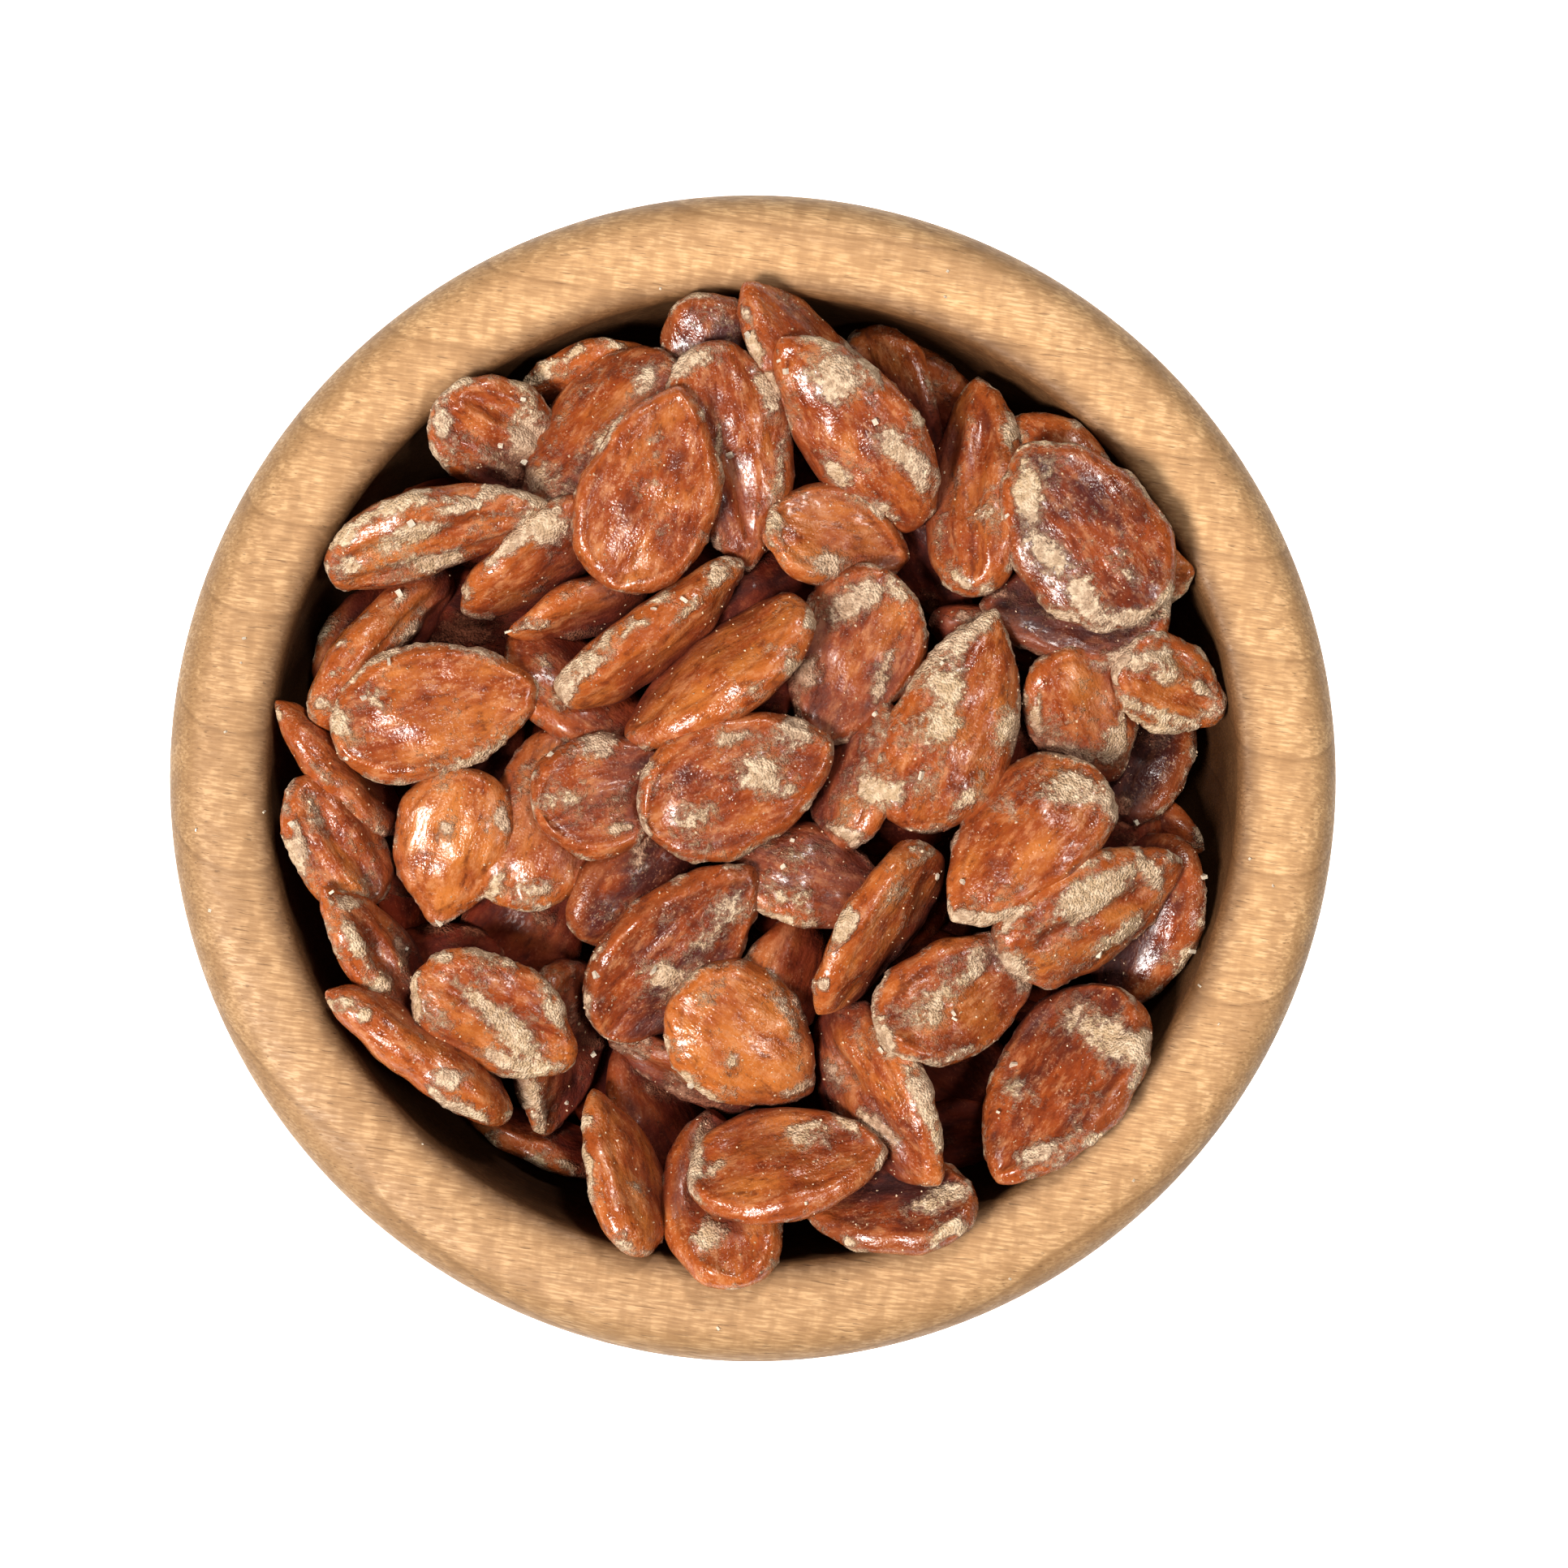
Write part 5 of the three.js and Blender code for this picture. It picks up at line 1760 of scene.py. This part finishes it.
@dataclass(frozen=True)
class Strewing:
    """Grains strewn over a piece by Geometry Nodes. Sizes in millimetres."""

    name: str
    density: float  # grains to a square metre
    smallest: float
    largest: float
    seed: int
    lowest: float
    square: bool = True
    by_crust: bool = False
    facing: float = 0.35  # how far upwards a face has to look
    crusted: Ramp = (0.38, 0.6)
    turn: float = 6.28
    cube: Triple = (1.0, 0.75, 0.6)
    lump_radius: float = 0.5
    lump_fineness: int = 2

    def tree(self, material: bpy.types.Material) -> bpy.types.NodeTree:
        """Builds the tree that strews the grains.

        Args:
            material: the grains' finish.

        Returns:
            The geometry tree.
        """
        tree = bpy.data.node_groups.new(self.name, "GeometryNodeTree")
        tree.interface.new_socket("Geometry", in_out="INPUT", socket_type="NodeSocketGeometry")
        for socket in ("Density", "Smallest", "Largest", "Lowest"):
            tree.interface.new_socket(socket, in_out="INPUT", socket_type=VALUE)
        tree.interface.new_socket("Seed", in_out="INPUT", socket_type="NodeSocketInt")
        tree.interface.new_socket("Geometry", in_out="OUTPUT", socket_type="NodeSocketGeometry")
        graph = Graph(tree)
        given = graph.add("NodeGroupInput").outputs
        spots = graph.add(
            "GeometryNodeDistributePointsOnFaces",
            {"Mesh": given["Geometry"], "Density": self.spread(graph, given), "Seed": given["Seed"]},
        )
        turns = {0: (0, 0, 0), 1: (self.turn, self.turn, self.turn), "Seed": given["Seed"]}
        turn = graph.add("FunctionNodeRandomValue", turns, data_type="FLOAT_VECTOR")
        low, high = (
            graph.add("ShaderNodeCombineXYZ", {axis: given[name] for axis in range(3)}).outputs[0]
            for name in ("Smallest", "Largest")
        )
        sizes = {0: low, 1: high, "Seed": given["Seed"]}
        size = graph.add("FunctionNodeRandomValue", sizes, data_type="FLOAT_VECTOR")
        grains = {
            "Points": spots.outputs["Points"],
            "Instance": self.grain(graph),
            "Rotation": turn.outputs[0],
            "Scale": size.outputs[0],
        }
        placed = graph.add("GeometryNodeInstanceOnPoints", grains)
        real = graph.add("GeometryNodeRealizeInstances", {0: placed.outputs[0]})
        dressed = graph.add("GeometryNodeSetMaterial", {0: real.outputs[0], "Material": material})
        graph.add("NodeGroupOutput", {0: dressed.outputs[0]})
        return tree

    def spread(self, graph: Graph, given: bpy.types.bpy_prop_collection) -> bpy.types.NodeSocket:
        """How densely the grains lie on faces that look up and lie high enough.

        Args:
            graph: the tree's graph.
            given: the tree's inputs.

        Returns:
            The density.
        """
        facing, place = (
            graph.add("ShaderNodeSeparateXYZ", {0: graph.add(kind).outputs[0]}).outputs[2]
            for kind in ("GeometryNodeInputNormal", "GeometryNodeInputPosition")
        )
        upward = graph.math("GREATER_THAN", facing, self.facing)
        shown = graph.times(upward, graph.math("GREATER_THAN", place, given["Lowest"]))
        density = graph.times(shown, given["Density"])
        if not self.by_crust:
            return density
        crust = graph.add("GeometryNodeInputNamedAttribute", {"Name": "crust"}, data_type="FLOAT").outputs[0]
        return graph.times(density, graph.ramp(crust, *self.crusted))

    def grain(self, graph: Graph) -> bpy.types.NodeSocket:
        """One grain about a metre across: a cube, or a lump where it isn't square.

        Args:
            graph: the tree's graph.

        Returns:
            The grain's mesh.
        """
        if self.square:
            return graph.add("GeometryNodeMeshCube", {"Size": self.cube}).outputs[0]
        lump = {"Radius": self.lump_radius, "Subdivisions": self.lump_fineness}
        return graph.add("GeometryNodeMeshIcoSphere", lump).outputs[0]

    def over(self, hosts: list[bpy.types.Object], material: bpy.types.Material) -> bpy.types.Object:
        """Strews the grains over some pieces and makes them a plain mesh.

        Args:
            hosts: the pieces.
            material: the grains' finish.

        Returns:
            The grains, as one piece.
        """
        source = linked(self.name + "_source", joined_mesh(hosts))
        tree = self.tree(material)
        modifier = source.modifiers.new(self.name, "NODES")
        modifier.node_group = tree
        values = {
            "Density": self.density,
            "Smallest": self.smallest * MM,
            "Largest": self.largest * MM,
            "Lowest": self.lowest * MM,
            "Seed": self.seed,
        }
        for item in tree.interface.items_tree:
            if item.in_out == "INPUT" and item.name in values:
                modifier[item.identifier] = values[item.name]
        evaluated = source.evaluated_get(bpy.context.evaluated_depsgraph_get())
        mesh = bpy.data.meshes.new_from_object(evaluated)
        source.modifiers.remove(modifier)
        bpy.data.objects.remove(source)
        mesh.name = self.name
        return linked(self.name, mesh)


def joined_mesh(hosts: list[bpy.types.Object]) -> bpy.types.Mesh:
    """Copies the meshes of some pieces into one.

    Args:
        hosts: the pieces.

    Returns:
        The joined mesh.
    """
    joined = bmesh.new()
    for host in hosts:
        joined.from_mesh(host.data)
    mesh = bpy.data.meshes.new("strewn_over")
    joined.to_mesh(mesh)
    joined.free()
    return mesh


# ---- the studio ----


def direction(azimuth: float, elevation: float) -> Vector:
    """The way to a place that lies so many degrees round from +X and so many up."""
    round_by, up_by = math.radians(azimuth), math.radians(elevation)
    return Vector((math.cos(round_by) * math.cos(up_by), math.sin(round_by) * math.cos(up_by), math.sin(up_by)))


@dataclass(frozen=True)
class SoftLamp:
    """A square soft light: its place round the bowl (degrees, metres), its side, its power and its colour."""

    name: str
    azimuth: float
    elevation: float
    size: float
    power: float
    glints: bool = True
    distance: float = 0.9
    colour: Triple = (1.0, 0.98, 0.955)

    def hang(self, height: float) -> None:
        """Hangs the light so that it faces the heap.

        Args:
            height: the bowl's height in millimetres.
        """
        area = bpy.data.lights.new(self.name, "AREA")
        area.shape = "SQUARE"
        area.size = self.size
        area.energy = self.power
        area.color = self.colour
        holder = linked(self.name, area)
        away = direction(self.azimuth, self.elevation)
        holder.location = Vector((0, 0, height * MM)) + away * self.distance
        holder.rotation_euler = (-away).to_track_quat("-Z", "Y").to_euler()
        holder.visible_glossy = self.glints


@dataclass(frozen=True)
class Studio:
    """The floor, the lights and the camera that looks straight down. Sizes in millimetres."""

    rim_height: float
    lamps: tuple[SoftLamp, ...] = (
        SoftLamp("window_on_the_left", azimuth=215, elevation=50, size=0.24, power=10.2),
        SoftLamp("lamp_behind", azimuth=70, elevation=52, size=0.12, power=2.9),
        SoftLamp("lamp_on_the_right", azimuth=335, elevation=55, size=0.12, power=1.7),
        SoftLamp("overhead", azimuth=120, elevation=84, size=0.3, power=0.5, glints=False),
    )
    sky: Colour = (1.0, 0.99, 0.97, 1)
    sky_strength: float = 0.012
    floor_half: float = 3000
    floor_gap: float = 0.2
    camera_height: float = EYE_HEIGHT
    lens: float = 98
    sensor: float = 36
    look_at: tuple[float, float] = (2.7, -0.7)
    lean: float = 2.0
    lean_way: float = 200
    exposure: float = 0.19
    gamma: float = 0.89

    def floor(self) -> bpy.types.Object:
        """Lays the floor just under the bowl's foot.

        Returns:
            The floor.
        """
        mesh = bpy.data.meshes.new("floor")
        half = self.floor_half * MM
        corners = [(-half, -half, 0), (half, -half, 0), (half, half, 0), (-half, half, 0)]
        mesh.from_pydata(corners, [], [(0, 1, 2, 3)])
        mesh.materials.append(PaleFloor().material())
        ground = linked("floor", mesh)
        ground.location.z = -self.floor_gap * MM
        return ground

    def world(self) -> None:
        """Fills the studio with a little even pale light."""
        world = bpy.data.worlds.new("studio")
        world.use_nodes = True
        graph = Graph(world.node_tree)
        sky = graph.add("ShaderNodeBackground", {"Color": self.sky, "Strength": self.sky_strength})
        graph.add("ShaderNodeOutputWorld", {"Surface": sky.outputs[0]})
        bpy.context.scene.world = world

    def camera(self) -> None:
        """Sets the camera over the bowl, with +Y up in its picture."""
        data = bpy.data.cameras.new("camera")
        data.lens = self.lens
        data.sensor_width = self.sensor
        camera = linked("camera", data)
        back = direction(self.lean_way, 90 - self.lean)
        target = Vector((*self.look_at, self.rim_height)) * MM
        right = Vector((0, 1, 0)).cross(back).normalized()
        turn = Matrix((right, back.cross(right), back)).transposed()
        camera.matrix_world = Matrix.Translation(target + back * self.camera_height * MM) @ turn.to_4x4()
        bpy.context.scene.camera = camera

    def build(self) -> None:
        """Makes the whole studio."""
        view = bpy.context.scene.view_settings
        view.view_transform = "Standard"
        view.exposure = self.exposure
        view.gamma = self.gamma
        self.floor()
        for lamp in self.lamps:
            lamp.hang(self.rim_height)
        self.world()
        self.camera()


# ---- the whole ----


def claim(piece: bpy.types.Object, node: str) -> None:
    """Puts a piece on the body that carries it, hides the node that it stands for, and logs its size.

    Args:
        piece: the piece.
        node: the node that it replaces.
    """
    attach(piece, ROOT)
    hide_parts(node)
    LOG.info("%s: %d points, %d faces", piece.name, len(piece.data.vertices), len(piece.data.polygons))


def main() -> None:
    """Builds the bowl, the heap and what is strewn over them, then the studio."""
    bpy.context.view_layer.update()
    bowl = TurnedBowl.from_frame()
    wood = OiledWood(bowl.mouth_radius, bowl.rim_radius).material()
    crust = DriedCrust().tree()
    pebbles = PebbledHull().tree()
    hull = RoastedHull(crust, pebbles).material()
    low = RoastedHull(crust, pebbles, name="hull_lying_low", specular=0.22).material()
    under = RoastedHull(crust, pebbles, name="hull_in_the_shade", specular=0.06).material()
    salt = SaltGlaze().material()
    grit = CrustGrain(crust).material()

    wooden = bowl.build(wood)
    claim(wooden, "bowl")

    heap = SeedHeap(Bed(bowl))
    seeds = heap.tiers({Tier.LOW: low, Tier.MIDDLE: hull, Tier.TOP: hull})
    for piece in [*seeds, heap.packed(under), heap.core(under)]:
        claim(piece, "seed_heap")

    shown = seeds[1:]
    crystals = Strewing("salt_crystals", 5500, 0.35, 0.95, seed=11, lowest=36).over(shown, salt)
    dust = Strewing("salt_dust", 200000, 0.08, 0.26, seed=17, lowest=34).over(shown, grit)
    lumpy = Strewing("crust_grains", 90000, 0.14, 0.42, seed=5, lowest=34, square=False, by_crust=True)
    for piece in (crystals, dust, lumpy.over(shown, grit)):
        claim(piece, "seed_heap")
    spilled = Strewing("spilled_salt", 6000, 0.15, 0.45, seed=3, lowest=43.2).over([wooden], salt)
    claim(spilled, "bowl")

    Studio(rim_height=bowl.height).build()


if __name__ == "__main__":
    logging.basicConfig(level=logging.INFO, format="%(name)s: %(message)s")
    main()
